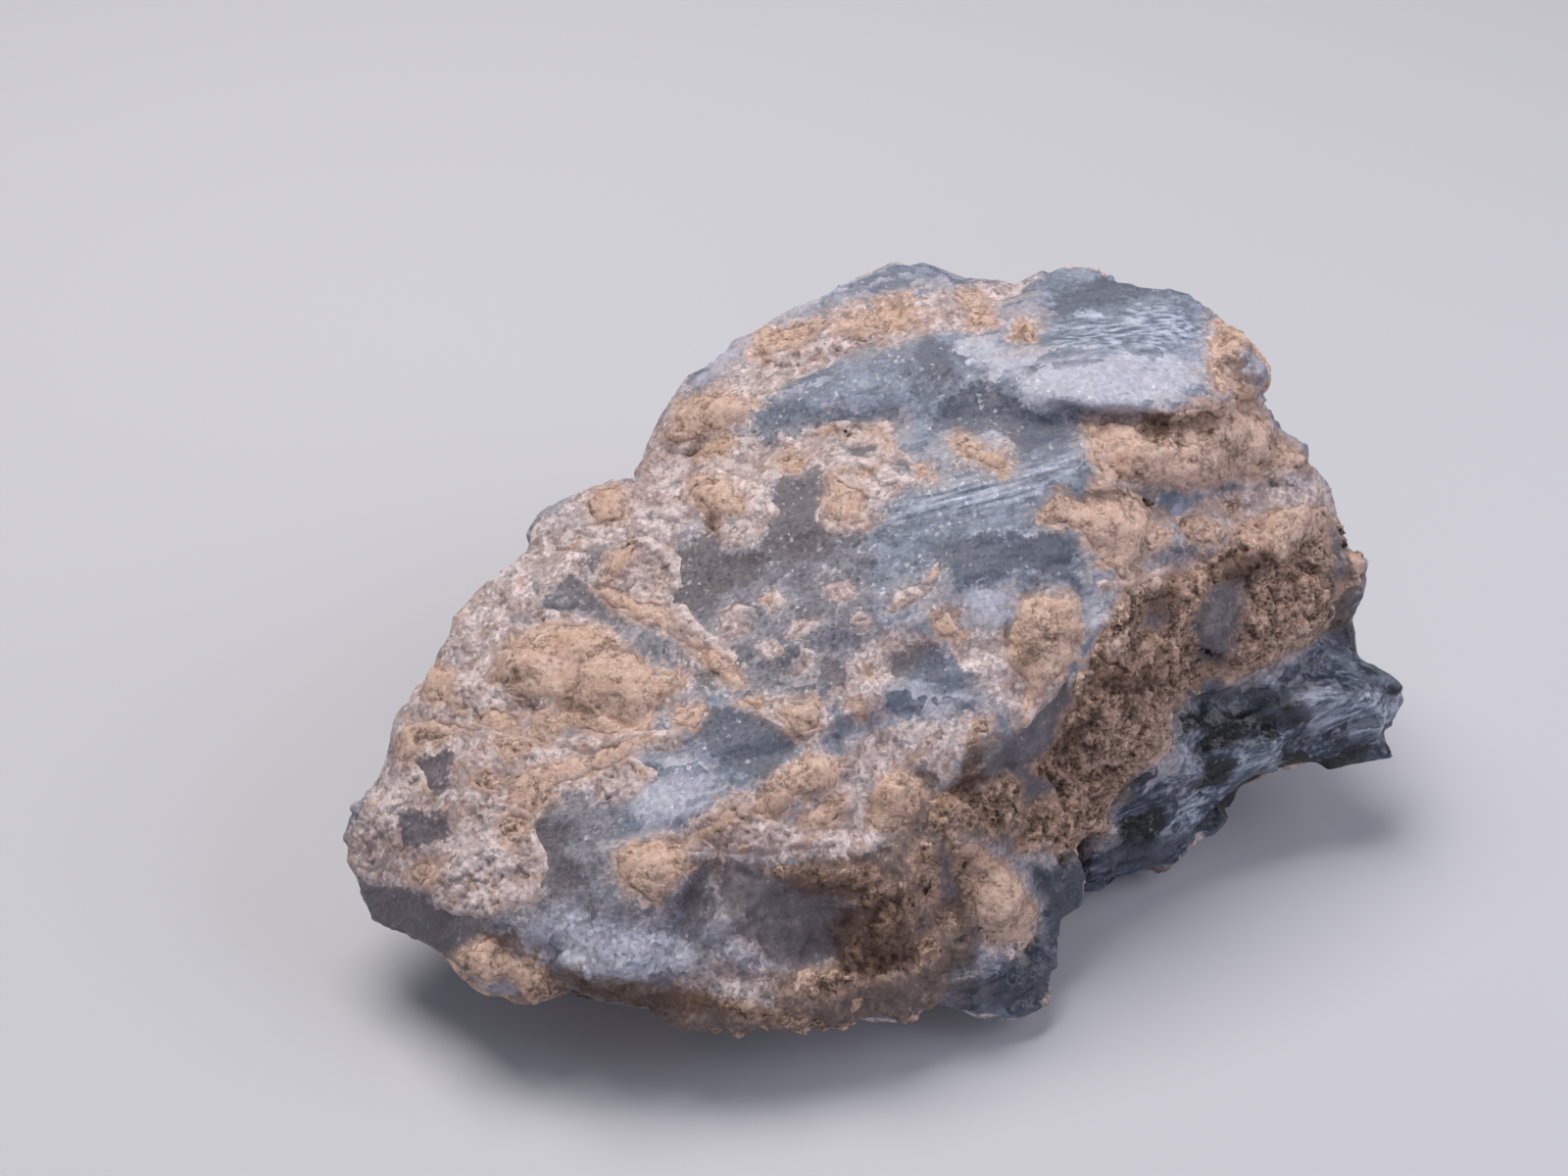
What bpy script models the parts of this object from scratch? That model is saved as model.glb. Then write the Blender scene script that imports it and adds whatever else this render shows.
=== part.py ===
"""A hand specimen of baryte: coarse blue-grey baryte grown and cleaved as one mass, with tan earthy
matrix packed into its hollows.

The baryte is one solid. Each lump of matrix is a solid of its own, seated in a pocket of the baryte.
The stone rests on a flat cleavage face. Sizes and places are in millimetres, x to the right, y away
from the front and z up. At the end the stone is moved so that its origin is the middle of its
bounding box, at the bottom.
"""
import bmesh
import bpy
import numpy as np
from mathutils import Vector, noise
from mathutils.bvhtree import BVHTree
from mathutils.kdtree import KDTree

MM = 0.001

# Colours of the solids, linear, with their roughness
BARYTE_COLOUR = (0.25, 0.31, 0.40)
BARYTE_ROUGHNESS = 0.35
MATRIX_COLOUR = (0.52, 0.28, 0.15)
MATRIX_ROUGHNESS = 0.95

# Corners of the convex blocks that the baryte mass is broken into
BLOCKS = {
    "front_slab": [
        (-33.5, -14, 10.5), (-32, -10, 16), (-28.5, -5, 20.5), (-22.5, 2, 26), (-18.5, 6, 29),
        (-12.5, 10, 30), (0, 11, 33), (24.5, 5, 37), (26, -4, 29), (22, -9, 24), (14.5, -13, 22),
        (10, -16, 19.5), (7, -22, 14.5), (4.5, -26, 10.5), (9.5, -25, 5), (-4.5, -28, 7),
        (-11.5, -27, 8), (-18.5, -25, 9), (-23.5, -24, 9), (-32, -17, 7.5), (-17, -23, 15),
        (-24, -21, 13), (-7, -22, 16.5), (-14, -8, -1.5), (-2, -18, -1.5), (15, -16, -1.5),
        (20, 12, -1.5), (-12, 6, -1.5), (-16, 12, 16), (0, 20, 14), (22, 10, 30),
    ],
    "back_slab": [
        (-12, 12, 29), (-8, 19, 33), (-1, 24, 36), (11, 27, 39.5), (16.5, 26, 37.5), (22, 20, 37.5),
        (22, 8, 37), (-4, 14, 34), (11, 14, 38), (-10, 20, 18), (2, 31, 22), (20, 31, 24),
        (30, 24, 30), (0, 24, -1.5), (24, 22, -1.5), (-9, 14, 4),
    ],
    "crown_plate": [
        (16.5, 25, 37.5), (24.5, 24, 40), (31.5, 22, 39.7), (36.5, 18, 38), (37, 13, 35.5),
        (33, 8, 37), (24.5, 6, 38.3), (18, 9, 37.8), (14, 16, 38.6), (20, 24, 34), (32, 21, 34),
        (34, 12, 33.5), (20, 10, 34),
    ],
    "right_mass": [
        (33, 10, 33), (37, 15, 35), (40, 13, 31), (44.5, 12, 26.5), (47, 8, 19.5), (46, 6, 13),
        (24.5, 5, 35), (26, -4, 28), (22, -9, 23), (24, -9, 8), (38, 0, 9), (40, 24, 24),
        (42, 22, 10), (30, 24, 31), (24, 24, 2), (20, 10, 0),
    ],
    "lower_mass": [
        (40, 0, 6), (31.5, -5, 3), (24, -10, 4), (22, -9, 15), (33, -3.5, 15), (42, 1.5, 14),
        (46, 6, 13), (44, 14, 8), (30, 16, -1.5), (24, -2, -1.5), (20, 12, -1.5),
    ],
    "front_fin": [
        (23.5, -12, 7), (23, -15, 5), (21.5, -19, 3), (20, -21, 2.2), (17.5, -22, 3),
        (14.7, -24, 2.4), (12, -23, 4), (14, -18, 13), (20, -13, 13), (22, -9, 14), (10, -20, 12),
        (12, -12, 2),
    ],
    "upper_blade": [
        (38, 8, 16), (39, -1, 15), (45, 0, 14.2), (48, 4, 14.3), (51.5, 4, 11.3), (51, 2, 10),
        (50, 7, 11), (38, -1, 10.5), (38, 8, 11),
    ],
    "lower_blade": [
        (37, 5, 12), (37, -2, 11.5), (38.5, -2, 7.8), (43.6, -1, 7.6), (49.2, 0.5, 7.7),
        (50.7, 1.5, 8.6), (49, 5, 9.2), (37, 6, 8),
    ],
}

# Places where the broken surface swells (plus) or is hollowed (minus): centre, radius, height
SWELLS = {
    "front_bulge": ((-12, -24, 11.5), 7, 1.6),
    "front_recess": ((2, -23.5, 11.5), 6, -3.0),
    "left_end_scoop": ((-28, -17, 12), 5, -0.8),
    "step_over_slab": ((-9, 9, 31), 5, -0.8),
    "notch_by_crown": ((38, 13, 32), 3.5, -1.2),
    "fin_root": ((23, -11, 7), 3.5, -1.5),
    "flank_undercut": ((33, -2, 17), 6, -1.4),
    "tip_underside": ((-26, -18, 6), 5, -1.2),
    "back_hollow": ((4, 29, 14), 7, -2.2),
    "back_swell": ((18, 30, 20), 8, 1.4),
    "left_back_scoop": ((-14, 12, 18), 7, -1.8),
}

# Grid of the working surface, and the triangles it is thinned to before and after its pockets
FINE_GRID = 0.8
FACETED_TRIANGLES = 4400
BARYTE_TRIANGLES = 6000

# Cleavage: the long direction of the crystals, and the facets that the mass breaks into
FIBRE = Vector((0.945, 0.045, 0.325)).normalized()
FACET_SIZE = 6.0
FACET_STRETCH = 0.45
FACET_TILT = 0.16
FACET_STEP = 0.4
FACET_LIMIT = 1.1
FACET_JITTER = 0.45
FACET_SEED = 7

# Faces that look upward break more evenly: above this normal z, relief fades to the calm share
CALM_FROM = 0.6
CALM_FULL = 0.85
CALM_SHARE = 0.35

# Matrix lumps: balls of (x, y, z, radius) on the face of the baryte, which each lump joins in one.
# A lump is pressed in to its depth, and stands proud by its height.
LUMPS = {
    "matrix_under_crown": {
        "balls": [(26.8, 6, 34, 2.6), (30, 6, 33.5, 3.2), (33.5, 7, 33.5, 3.4), (37, 10, 32.5, 2.6)],
        "depth": 2.6, "height": 1.5,
    },
    "matrix_shoulder": {
        "balls": [(24, 0.6, 31.8, 2.3), (26, -0.4, 30, 2.2)],
        "depth": 2.0, "height": 0.6,
    },
    "matrix_right_rim": {
        "balls": [(33.8, 3.4, 28.2, 2.1), (36.8, 5.4, 27.5, 2.4), (39.8, 7.4, 26.2, 2.4)],
        "depth": 2.2, "height": 0.9,
    },
    "matrix_flank": {
        "balls": [(38, 1.8, 21.8, 2.9), (41.5, 4.5, 19.5, 2.8), (36.8, 0.4, 19.6, 2.4)],
        "depth": 2.6, "height": 1.0,
    },
    "matrix_mid_flank": {
        "balls": [(28.2, -2.7, 25, 2.5), (30.4, -0.8, 24.8, 2.3), (28.8, -3, 23, 2.1)],
        "depth": 2.4, "height": 0.9,
    },
    "matrix_low_flank": {
        "balls": [(24.3, -7.4, 21.6, 2.6), (26, -6.2, 18.6, 2.6), (23, -8.7, 18.4, 2.4),
                  (26.8, -6.4, 16.2, 2.1)],
        "depth": 2.6, "height": 1.0,
    },
    "matrix_flank_foot": {
        "balls": [(22.2, -11.2, 13, 2.6), (20, -12.8, 14.2, 2.3), (23.4, -10, 11, 2.1)],
        "depth": 2.2, "height": 0.9,
    },
    "matrix_fin": {
        "balls": [(14.4, -17.8, 13.4, 1.7), (15.6, -19, 11.8, 2.1), (17, -19.5, 10, 2.1)],
        "depth": 1.8, "height": 0.7,
    },
    "matrix_lip": {
        "balls": [(12.4, -17.3, 18.8, 1.7), (10.4, -17.3, 18.8, 1.6), (8.3, -16.3, 19.6, 2.2)],
        "depth": 1.8, "height": 0.5,
    },
    "matrix_ridge": {
        "balls": [(2.5, -15.5, 21.5, 2.3), (-0.4, -16.6, 20.4, 2.2), (-3.4, -17.5, 18.8, 2.2)],
        "depth": 1.8, "height": 0.8,
    },
    "matrix_front_knob": {"balls": [(-9.5, -21.3, 16.7, 2.6)], "depth": 1.6, "height": 1.2},
    "matrix_corner_knob": {
        "balls": [(-22.3, -23, 9.2, 2.1), (-19.2, -23.7, 8.5, 2.0)],
        "depth": 1.6, "height": 1.2,
    },
    "matrix_front_band": {
        "balls": [(-6.6, -26.2, 7.4, 1.9), (-3.4, -26.4, 7.4, 2.1), (0, -26.3, 7.5, 2.2),
                  (3.5, -26, 7.5, 2.3), (7, -25.4, 7.5, 2.1)],
        "depth": 1.8, "height": 0.9,
    },
    "matrix_left_field": {
        "balls": [(-18, -5.5, 22.7, 3.7), (-13.8, -6.8, 23.2, 3.7), (-10.8, -9, 22.6, 2.4),
                  (-15.8, -3.5, 23.8, 2.6)],
        "depth": 2.0, "height": 0.5,
    },
    "matrix_pit": {"balls": [(-5.3, 5, 30.5, 2.3)], "depth": 1.8, "height": 0.5},
    "matrix_left_rim": {
        "balls": [(-6.5, 13.4, 33, 2.7), (-8.5, 12.8, 32, 2.0), (-3.2, 14.3, 34, 1.8)],
        "depth": 2.0, "height": 0.6,
    },
    "matrix_back_rim": {
        "balls": [(0.4, 19, 36.3, 2.2), (3.8, 19.3, 36.8, 2.1), (7.2, 19.8, 37.6, 2.0)],
        "depth": 1.8, "height": 0.6,
    },
    "matrix_right_knob": {
        "balls": [(19.3, -7, 26.8, 2.6), (20.3, -5, 27.6, 2.0), (19.5, -9.2, 25.8, 1.9)],
        "depth": 1.8, "height": 0.8,
    },
    "matrix_right_tip": {"balls": [(36.8, 15, 36.5, 2.2)], "depth": 1.6, "height": 1.0},
    "matrix_back": {
        "balls": [(6, 30, 22, 4.0), (10.5, 31, 20, 3.6), (4, 29, 17, 3.4)],
        "depth": 2.6, "height": 1.2,
    },
    "matrix_left_back": {
        "balls": [(-18, 8, 20, 3.6), (-20, 4.5, 18.5, 3.2), (-16.5, 9.5, 16.5, 3.0)],
        "depth": 2.2, "height": 0.9,
    },
    "matrix_right_back": {
        "balls": [(42.3, 17.5, 20, 3.4), (41, 20.5, 17.5, 3.2), (43, 15.5, 16.5, 3.0)],
        "depth": 2.2, "height": 0.9,
    },
    "matrix_underside": {
        "balls": [(-12, -19.8, 5, 3.2), (-15, -17, 4.6, 3.2), (-9.4, -21.4, 4.4, 2.8)],
        "depth": 2.0, "height": 0.8,
    },
}

# Working grid of a lump, its crumbly relief, and the gap that keeps it clear of its pocket
LUMP_GRID = 0.6
LUMP_RELIEF = 0.55
LUMP_NOISE_SIZE = 2.2
SEAT_GAP = 0.72

# A lump keeps this share of its grid's triangles and some more, and its pocket's cutter this share
LUMP_SHARE = 0.09
LUMP_TRIANGLES = 60
POCKET_SHARE = 0.25


def hull(bm, corners):
    """Adds the convex hull of these corners, in millimetres, to bm."""
    verts = [bm.verts.new(Vector(corner) * MM) for corner in corners]
    made = bmesh.ops.convex_hull(bm, input=verts)
    loose = [v for v in made["geom_interior"] if isinstance(v, bmesh.types.BMVert)]
    bmesh.ops.delete(bm, geom=loose, context="VERTS")


def linked(name, mesh):
    """A new object of this mesh in the scene."""
    obj = bpy.data.objects.new(name, mesh)
    bpy.context.scene.collection.objects.link(obj)
    return obj


def evaluated_mesh(obj):
    """The object's mesh with its modifiers applied, as a new mesh. The object is removed."""
    graph = bpy.context.evaluated_depsgraph_get()
    mesh = bpy.data.meshes.new_from_object(obj.evaluated_get(graph))
    bpy.data.objects.remove(obj)
    return mesh


def fused(name, bm, grid):
    """The shapes in bm joined in one closed surface with a grid of this size, in millimetres."""
    mesh = bpy.data.meshes.new(name)
    bm.to_mesh(mesh)
    bm.free()
    obj = linked(name, mesh)
    remesh = obj.modifiers.new("Remesh", "REMESH")
    remesh.mode = "VOXEL"
    remesh.voxel_size = grid * MM
    return evaluated_mesh(obj)


def thinned(name, mesh, share):
    """The mesh brought down to this share of its triangles."""
    obj = linked(name, mesh)
    obj.modifiers.new("Thin", "DECIMATE").ratio = share
    obj.modifiers.new("Triangles", "TRIANGULATE")
    return evaluated_mesh(obj)


def triangles_in(mesh):
    """How many triangles the mesh's faces make."""
    return sum(len(polygon.vertices) - 2 for polygon in mesh.polygons)


def points_of(mesh):
    """Places of the mesh's vertices, in millimetres."""
    return np.array([v.co for v in mesh.vertices]) / MM


def normals_of(mesh):
    """Normals of the mesh's vertices."""
    return np.array([v.normal for v in mesh.vertices])


def move_along_normals(mesh, heights):
    """Moves each vertex along its normal by its height, in millimetres."""
    points = points_of(mesh) + normals_of(mesh) * np.asarray(heights)[:, None]
    mesh.vertices.foreach_set("co", (points * MM).ravel())
    mesh.update()


def facet_heights(points, rng):
    """How far each point stands out as part of a flat, tilted facet stretched along the fibre."""
    fibre = np.array(FIBRE)
    along = points @ fibre
    squeezed = points - np.outer(along * (1 - FACET_STRETCH), fibre)
    low = squeezed.min(0)
    counts = np.ceil((squeezed.max(0) - low) / FACET_SIZE).astype(int) + 1
    cells = np.stack(np.meshgrid(*[np.arange(n) for n in counts], indexing="ij"), -1).reshape(-1, 3)
    seeds = low + (cells + rng.uniform(-FACET_JITTER, FACET_JITTER, cells.shape)) * FACET_SIZE
    tilts = rng.normal(0, FACET_TILT, seeds.shape)
    steps = rng.uniform(-FACET_STEP, FACET_STEP, len(seeds))
    tree = KDTree(len(seeds))
    for index, seed in enumerate(seeds):
        tree.insert(seed, index)
    tree.balance()
    owner = np.array([tree.find(point)[1] for point in squeezed])
    heights = ((squeezed - seeds[owner]) * tilts[owner]).sum(1) + steps[owner]
    return np.clip(heights, -FACET_LIMIT, FACET_LIMIT)


def swell_heights(points):
    """The wide swells and hollows, each fading out evenly from its centre."""
    heights = np.zeros(len(points))
    for centre, radius, height in SWELLS.values():
        share = np.clip(1 - np.linalg.norm(points - np.array(centre), axis=1) / radius, 0, 1)
        heights += height * share * share * (3 - 2 * share)
    return heights


def flat_based(mesh):
    """The mesh cut off level at z = 0 and closed there: the cleavage face that the stone rests on."""
    bm = bmesh.new()
    bm.from_mesh(mesh)
    everything = bm.verts[:] + bm.edges[:] + bm.faces[:]
    cut = bmesh.ops.bisect_plane(
        bm, geom=everything, plane_co=(0, 0, 0), plane_no=(0, 0, -1), clear_outer=True
    )
    rim = [e for e in cut["geom_cut"] if isinstance(e, bmesh.types.BMEdge)]
    bmesh.ops.holes_fill(bm, edges=rim, sides=0)
    bm.to_mesh(mesh)
    bm.free()
    return mesh


def baryte_mesh():
    """The baryte before its pockets and base are cut: the blocks fused, swelled and broken."""
    bm = bmesh.new()
    for corners in BLOCKS.values():
        hull(bm, corners)
    mesh = fused("baryte_blocks", bm, FINE_GRID)
    move_along_normals(mesh, swell_heights(points_of(mesh)))
    level = np.clip((normals_of(mesh)[:, 2] - CALM_FROM) / (CALM_FULL - CALM_FROM), 0, 1)
    calm = 1 - (1 - CALM_SHARE) * level
    heights = facet_heights(points_of(mesh), np.random.default_rng(FACET_SEED))
    move_along_normals(mesh, heights * calm)
    return thinned("baryte_faceted", mesh, FACETED_TRIANGLES / triangles_in(mesh))


def tree_of(mesh):
    """The mesh's faces, for finding the nearest place on them."""
    return BVHTree.FromPolygons([v.co for v in mesh.vertices], [p.vertices for p in mesh.polygons])


def lump_mesh(name, balls, depth, height, face):
    """A crumbly lump: flattened balls seated on the face, joined, and roughened."""
    bm = bmesh.new()
    half_thickness = (depth + height) / 2
    for x, y, z, radius in balls:
        foot, normal, _, _ = face.find_nearest(Vector((x, y, z)) * MM)
        centre = foot + normal * (height - half_thickness) * MM
        ball = bmesh.ops.create_icosphere(bm, subdivisions=3, radius=1.0)["verts"]
        bmesh.ops.scale(bm, vec=Vector((radius, radius, half_thickness)) * MM, verts=ball)
        bmesh.ops.rotate(bm, matrix=normal.to_track_quat("Z", "Y").to_matrix(), verts=ball)
        bmesh.ops.translate(bm, vec=centre, verts=ball)
    mesh = fused(name, bm, LUMP_GRID)
    heights = [LUMP_RELIEF * noise.noise(Vector(p) / LUMP_NOISE_SIZE) for p in points_of(mesh)]
    move_along_normals(mesh, heights)
    return mesh


def seat_cutter(name, mesh):
    """The lump grown by the seat gap: it cuts the lump's pocket in the baryte."""
    cutter = linked("cutter_" + name, mesh)
    grown = cutter.modifiers.new("Gap", "DISPLACE")
    grown.mid_level = 0
    grown.strength = SEAT_GAP * MM
    closed = cutter.modifiers.new("Closed", "REMESH")
    closed.mode = "VOXEL"
    closed.voxel_size = LUMP_GRID * MM
    cutter.modifiers.new("Thin", "DECIMATE").ratio = POCKET_SHARE
    cutter.modifiers.new("Triangles", "TRIANGULATE")
    cutter.hide_render = True
    cutter.display_type = "WIRE"
    return cutter


def material(name, colour, roughness):
    """A dull or glossy stone colour."""
    made = bpy.data.materials.new(name)
    made.use_nodes = True
    shader = made.node_tree.nodes["Principled BSDF"]
    shader.inputs["Base Color"].default_value = (*colour, 1)
    shader.inputs["Roughness"].default_value = roughness
    shader.inputs["Metallic"].default_value = 0
    return made


def move_to_origin(meshes, reference):
    """Moves every mesh so that the origin is the bottom middle of the reference meshes' box."""
    corners = np.concatenate([points_of(mesh) for mesh in reference])
    low, high = corners.min(0), corners.max(0)
    shift = Vector((-(low[0] + high[0]) / 2, -(low[1] + high[1]) / 2, -low[2])) * MM
    for mesh in meshes:
        for vertex in mesh.vertices:
            vertex.co += shift
        mesh.update()


def pocketed(mesh, cutters):
    """The baryte with every pocket cut, thinned again and set on its flat base."""
    obj = linked("baryte_whole", mesh)
    for cutter in cutters:
        pocket = obj.modifiers.new("Pocket " + cutter.name, "BOOLEAN")
        pocket.operation = "DIFFERENCE"
        pocket.solver = "EXACT"
        pocket.object = cutter
    cut = evaluated_mesh(obj)
    return flat_based(thinned("baryte", cut, BARYTE_TRIANGLES / triangles_in(cut)))


def main():
    """Clears the scene, then builds the baryte with its pockets, and every lump."""
    for obj in list(bpy.data.objects):
        bpy.data.objects.remove(obj)
    earth = material("earthy_matrix", MATRIX_COLOUR, MATRIX_ROUGHNESS)
    whole = baryte_mesh()
    face = tree_of(whole)
    lumps, cutters = [], []
    for name, lump in LUMPS.items():
        mesh = lump_mesh(name, lump["balls"], lump["depth"], lump["height"], face)
        cutters.append(seat_cutter(name, mesh))
        share = LUMP_SHARE + LUMP_TRIANGLES / triangles_in(mesh)
        lump_object = linked(name, thinned(name, mesh.copy(), share))
        lump_object.data.materials.append(earth)
        lumps.append(lump_object)
    baryte = linked("baryte", pocketed(whole, cutters))
    baryte.data.materials.append(material("baryte", BARYTE_COLOUR, BARYTE_ROUGHNESS))
    solids = [obj.data for obj in [baryte, *lumps]]
    move_to_origin(solids + [cutter.data for cutter in cutters], solids)


main()
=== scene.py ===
"""The looks of a baryte hand specimen: a cleaved blue-grey mass, a sugary cream crust on it, and
earthy tan clay in its hollows. Sizes are in millimetres unless a name says otherwise.
"""
import itertools
import math

import bmesh
import bpy
import numpy as np
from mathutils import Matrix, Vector
from mathutils.bvhtree import BVHTree


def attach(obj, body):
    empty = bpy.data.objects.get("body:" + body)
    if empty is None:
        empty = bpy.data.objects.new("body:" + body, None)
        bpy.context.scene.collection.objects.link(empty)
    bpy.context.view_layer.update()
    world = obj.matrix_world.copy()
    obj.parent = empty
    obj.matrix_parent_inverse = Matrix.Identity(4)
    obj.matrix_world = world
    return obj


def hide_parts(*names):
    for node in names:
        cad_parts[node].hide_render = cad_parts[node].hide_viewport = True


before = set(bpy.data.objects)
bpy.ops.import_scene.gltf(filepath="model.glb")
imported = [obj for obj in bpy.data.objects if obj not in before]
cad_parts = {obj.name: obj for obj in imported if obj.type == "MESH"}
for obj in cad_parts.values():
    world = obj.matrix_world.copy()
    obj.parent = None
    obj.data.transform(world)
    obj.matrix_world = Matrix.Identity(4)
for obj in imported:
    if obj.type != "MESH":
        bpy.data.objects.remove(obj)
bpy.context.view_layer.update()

# The camera looks down on the stone from the front, as one looks at a specimen on a table.
MM = 0.001
PICTURE_WIDTH, PICTURE_HEIGHT = 1600, 1200
LENS, SENSOR = 60.0, 36.0
LOOK_DOWN = math.radians(38.0)
CAMERA_DISTANCE = 200.0
LOOKED_AT = Vector((-8.6, -2.0, 26.0))
ahead = Vector((0, math.cos(LOOK_DOWN), -math.sin(LOOK_DOWN)))
above = Vector((0, math.sin(LOOK_DOWN), math.cos(LOOK_DOWN)))
eye = LOOKED_AT - ahead * CAMERA_DISTANCE
bpy.ops.object.camera_add(location=eye * MM, rotation=(math.pi / 2 - LOOK_DOWN, 0, 0))
camera = bpy.context.object
camera.data.lens = LENS
camera.data.sensor_width = SENSOR
camera.data.clip_start = 0.005
bpy.context.scene.camera = camera

# A pale matt board under the stone, and soft daylight from above on the left, filled from the right
# and more weakly from the front. What faces down or to the right is in shade.
FLOOR_SIZE = 8000.0
FLOOR_COLOUR = "b4b5bc"
AMBIENT_COLOUR = "dfe4ee"
AMBIENT_STRENGTH = 0.22


def linear(code):
    """A hex sRGB colour as linear red, green, blue and alpha."""
    parts = [int(code[i:i + 2], 16) / 255 for i in (0, 2, 4)]
    return (*[p / 12.92 if p <= 0.04045 else ((p + 0.055) / 1.055) ** 2.4 for p in parts], 1)


def new_finish(name):
    """A material, and the function that adds a node to it with its settings and its links."""
    finish = bpy.data.materials.new(name)
    finish.use_nodes = True
    tree = finish.node_tree
    tree.nodes.clear()

    def add(kind, links=(), out=None, **settings):
        made = tree.nodes.new("ShaderNode" + kind)
        for setting, value in settings.items():
            setattr(made, setting, value)
        for key, value in dict(links).items():
            named = [s for s in made.inputs if s.enabled and s.name == key]
            socket = named[0] if named else made.inputs[key]
            if isinstance(value, bpy.types.NodeSocket):
                tree.links.new(value, socket)
            else:
                socket.default_value = linear(value) if isinstance(value, str) else value
        shown = [s for s in made.outputs if s.enabled and out in (None, s.name)]
        return shown[0] if shown else None

    return finish, add


def area_light(name, place, size, power, colour):
    """A square soft light that faces the stone."""
    towards = (LOOKED_AT - Vector(place)).to_track_quat("-Z", "Y").to_euler()
    bpy.ops.object.light_add(type="AREA", location=Vector(place) * MM, rotation=towards)
    light = bpy.context.object
    light.name = name
    light.data.size = size * MM
    light.data.energy = power
    light.data.color = linear(colour)[:3]


bpy.ops.object.select_all(action="DESELECT")
bpy.ops.mesh.primitive_plane_add(size=FLOOR_SIZE * MM)
board = bpy.context.object
board.name = "board"
matt_board, add = new_finish("matt_board")
paint = add("BsdfPrincipled", {"Base Color": FLOOR_COLOUR, "Roughness": 0.9})
add("OutputMaterial", {"Surface": paint})
board.data.materials.append(matt_board)

area_light("window_light", (-90, 110, 410), 260, 2.05, "fffaf4")
area_light("side_fill", (320, -60, 240), 300, 0.75, "f4f4ff")
area_light("front_fill", (-60, -420, 160), 320, 0.38, "f4f5ff")
sky = bpy.data.worlds.new("room")
bpy.context.scene.world = sky
sky.use_nodes = True
sky.node_tree.nodes["Background"].inputs["Color"].default_value = linear(AMBIENT_COLOUR)
sky.node_tree.nodes["Background"].inputs["Strength"].default_value = AMBIENT_STRENGTH
bpy.context.scene.view_settings.view_transform = "Standard"

# Baryte: the stone's body, a cleaved crystal mass grown as one piece. Its form is the solid's, on an
# even grid that holds the relief. The pockets of the clay lumps are filled to just below the face, and
# so is the slot at the root of the crown plate.
MERGED_WITHIN = 0.001
GRID = 0.3
SEAT_GROWTH = 0.85
SEAT_SINK = 1.1
EXPOSED_PERCENTILE = 70
SOFTENING = 8
CROWN_ROOT = (14.6, 6.4, 33.6)
CROWN_ROOT_SIZE = (4.3, 3.8, 2.7)


def only(*chosen):
    """Selects just these objects, the first of them active."""
    for obj in bpy.context.selected_objects:
        obj.select_set(False)
    for obj in chosen:
        obj.select_set(True)
    bpy.context.view_layer.objects.active = chosen[0]


def apply_modifier(piece, kind, **settings):
    """Adds a modifier with these settings and applies it."""
    only(piece)
    added = piece.modifiers.new("shaping", kind)
    for name, value in settings.items():
        setattr(added, name, value)
    bpy.ops.object.modifier_apply(modifier=added.name)


def soften(piece, times):
    """Smooths the piece this many times."""
    apply_modifier(piece, "SMOOTH", factor=0.5, iterations=times)


def regrid(piece, grid, softening):
    """Joins all shapes of the piece in one even grid of quads of this size, and softens it."""
    apply_modifier(piece, "REMESH", mode="VOXEL", voxel_size=grid * MM)
    soften(piece, softening)


def new_piece(name, mesh):
    """A new object with this mesh, in the scene."""
    piece = bpy.data.objects.new(name, mesh)
    bpy.context.scene.collection.objects.link(piece)
    return piece


def piece_of(name, points, faces):
    """A new piece with these corners, in millimetres, and these faces."""
    mesh = bpy.data.meshes.new(name)
    mesh.from_pydata((points * MM).tolist(), [], faces.tolist())
    return new_piece(name, mesh)


def solid_copy(name, solid):
    """A new piece with the shape of a solid, its doubles merged and its materials left off."""
    form = bmesh.new()
    form.from_mesh(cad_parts[solid].data)
    bmesh.ops.remove_doubles(form, verts=form.verts, dist=MERGED_WITHIN * MM)
    mesh = bpy.data.meshes.new(name)
    form.to_mesh(mesh)
    form.free()
    return new_piece(name, mesh)


def read(values, name, width, kind=np.float32):
    """One of a mesh's lists of values, with this many numbers in a row."""
    flat = np.empty(len(values) * width, kind)
    values.foreach_get(name, flat)
    return flat.reshape(-1, width)


def points_of(piece):
    """Places of the piece's vertices, in millimetres."""
    return read(piece.data.vertices, "co", 3).astype(float) / MM


def normals_of(piece):
    """Normals of the piece's vertices."""
    return read(piece.data.vertex_normals, "vector", 3).astype(float)


def quads_of(piece):
    """Corners of the faces of a piece that has only quads."""
    return read(piece.data.loops, "vertex_index", 1, np.int32).reshape(-1, 4)


def place_points(piece, points):
    """Puts the piece's vertices at these places, in millimetres."""
    piece.data.vertices.foreach_set("co", (points * MM).astype(np.float32).ravel())
    piece.data.update()


def store(piece, **fields):
    """Keeps a value for each vertex under each of these names, for the material to read."""
    for name, values in fields.items():
        kept = piece.data.attributes.new(name, "FLOAT", "POINT")
        kept.data.foreach_set("value", values.astype(np.float32))


def stored(piece, name):
    """The values kept for the piece's vertices under this name."""
    return read(piece.data.attributes[name].data, "value", 1)[:, 0].astype(float)


def tree_of(*pieces):
    """The faces of the pieces, for finding the nearest place on them, in metres."""
    points, faces = [], []
    for piece in pieces:
        faces += [[len(points) + i for i in face.vertices] for face in piece.data.polygons]
        points += [vertex.co for vertex in piece.data.vertices]
    return BVHTree.FromPolygons(points, faces)


def thin_to(piece, triangles):
    """Thins the piece to about this many triangles."""
    now = sum(len(face.vertices) - 2 for face in piece.data.polygons)
    if now > triangles:
        apply_modifier(piece, "DECIMATE", ratio=triangles / now)


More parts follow.
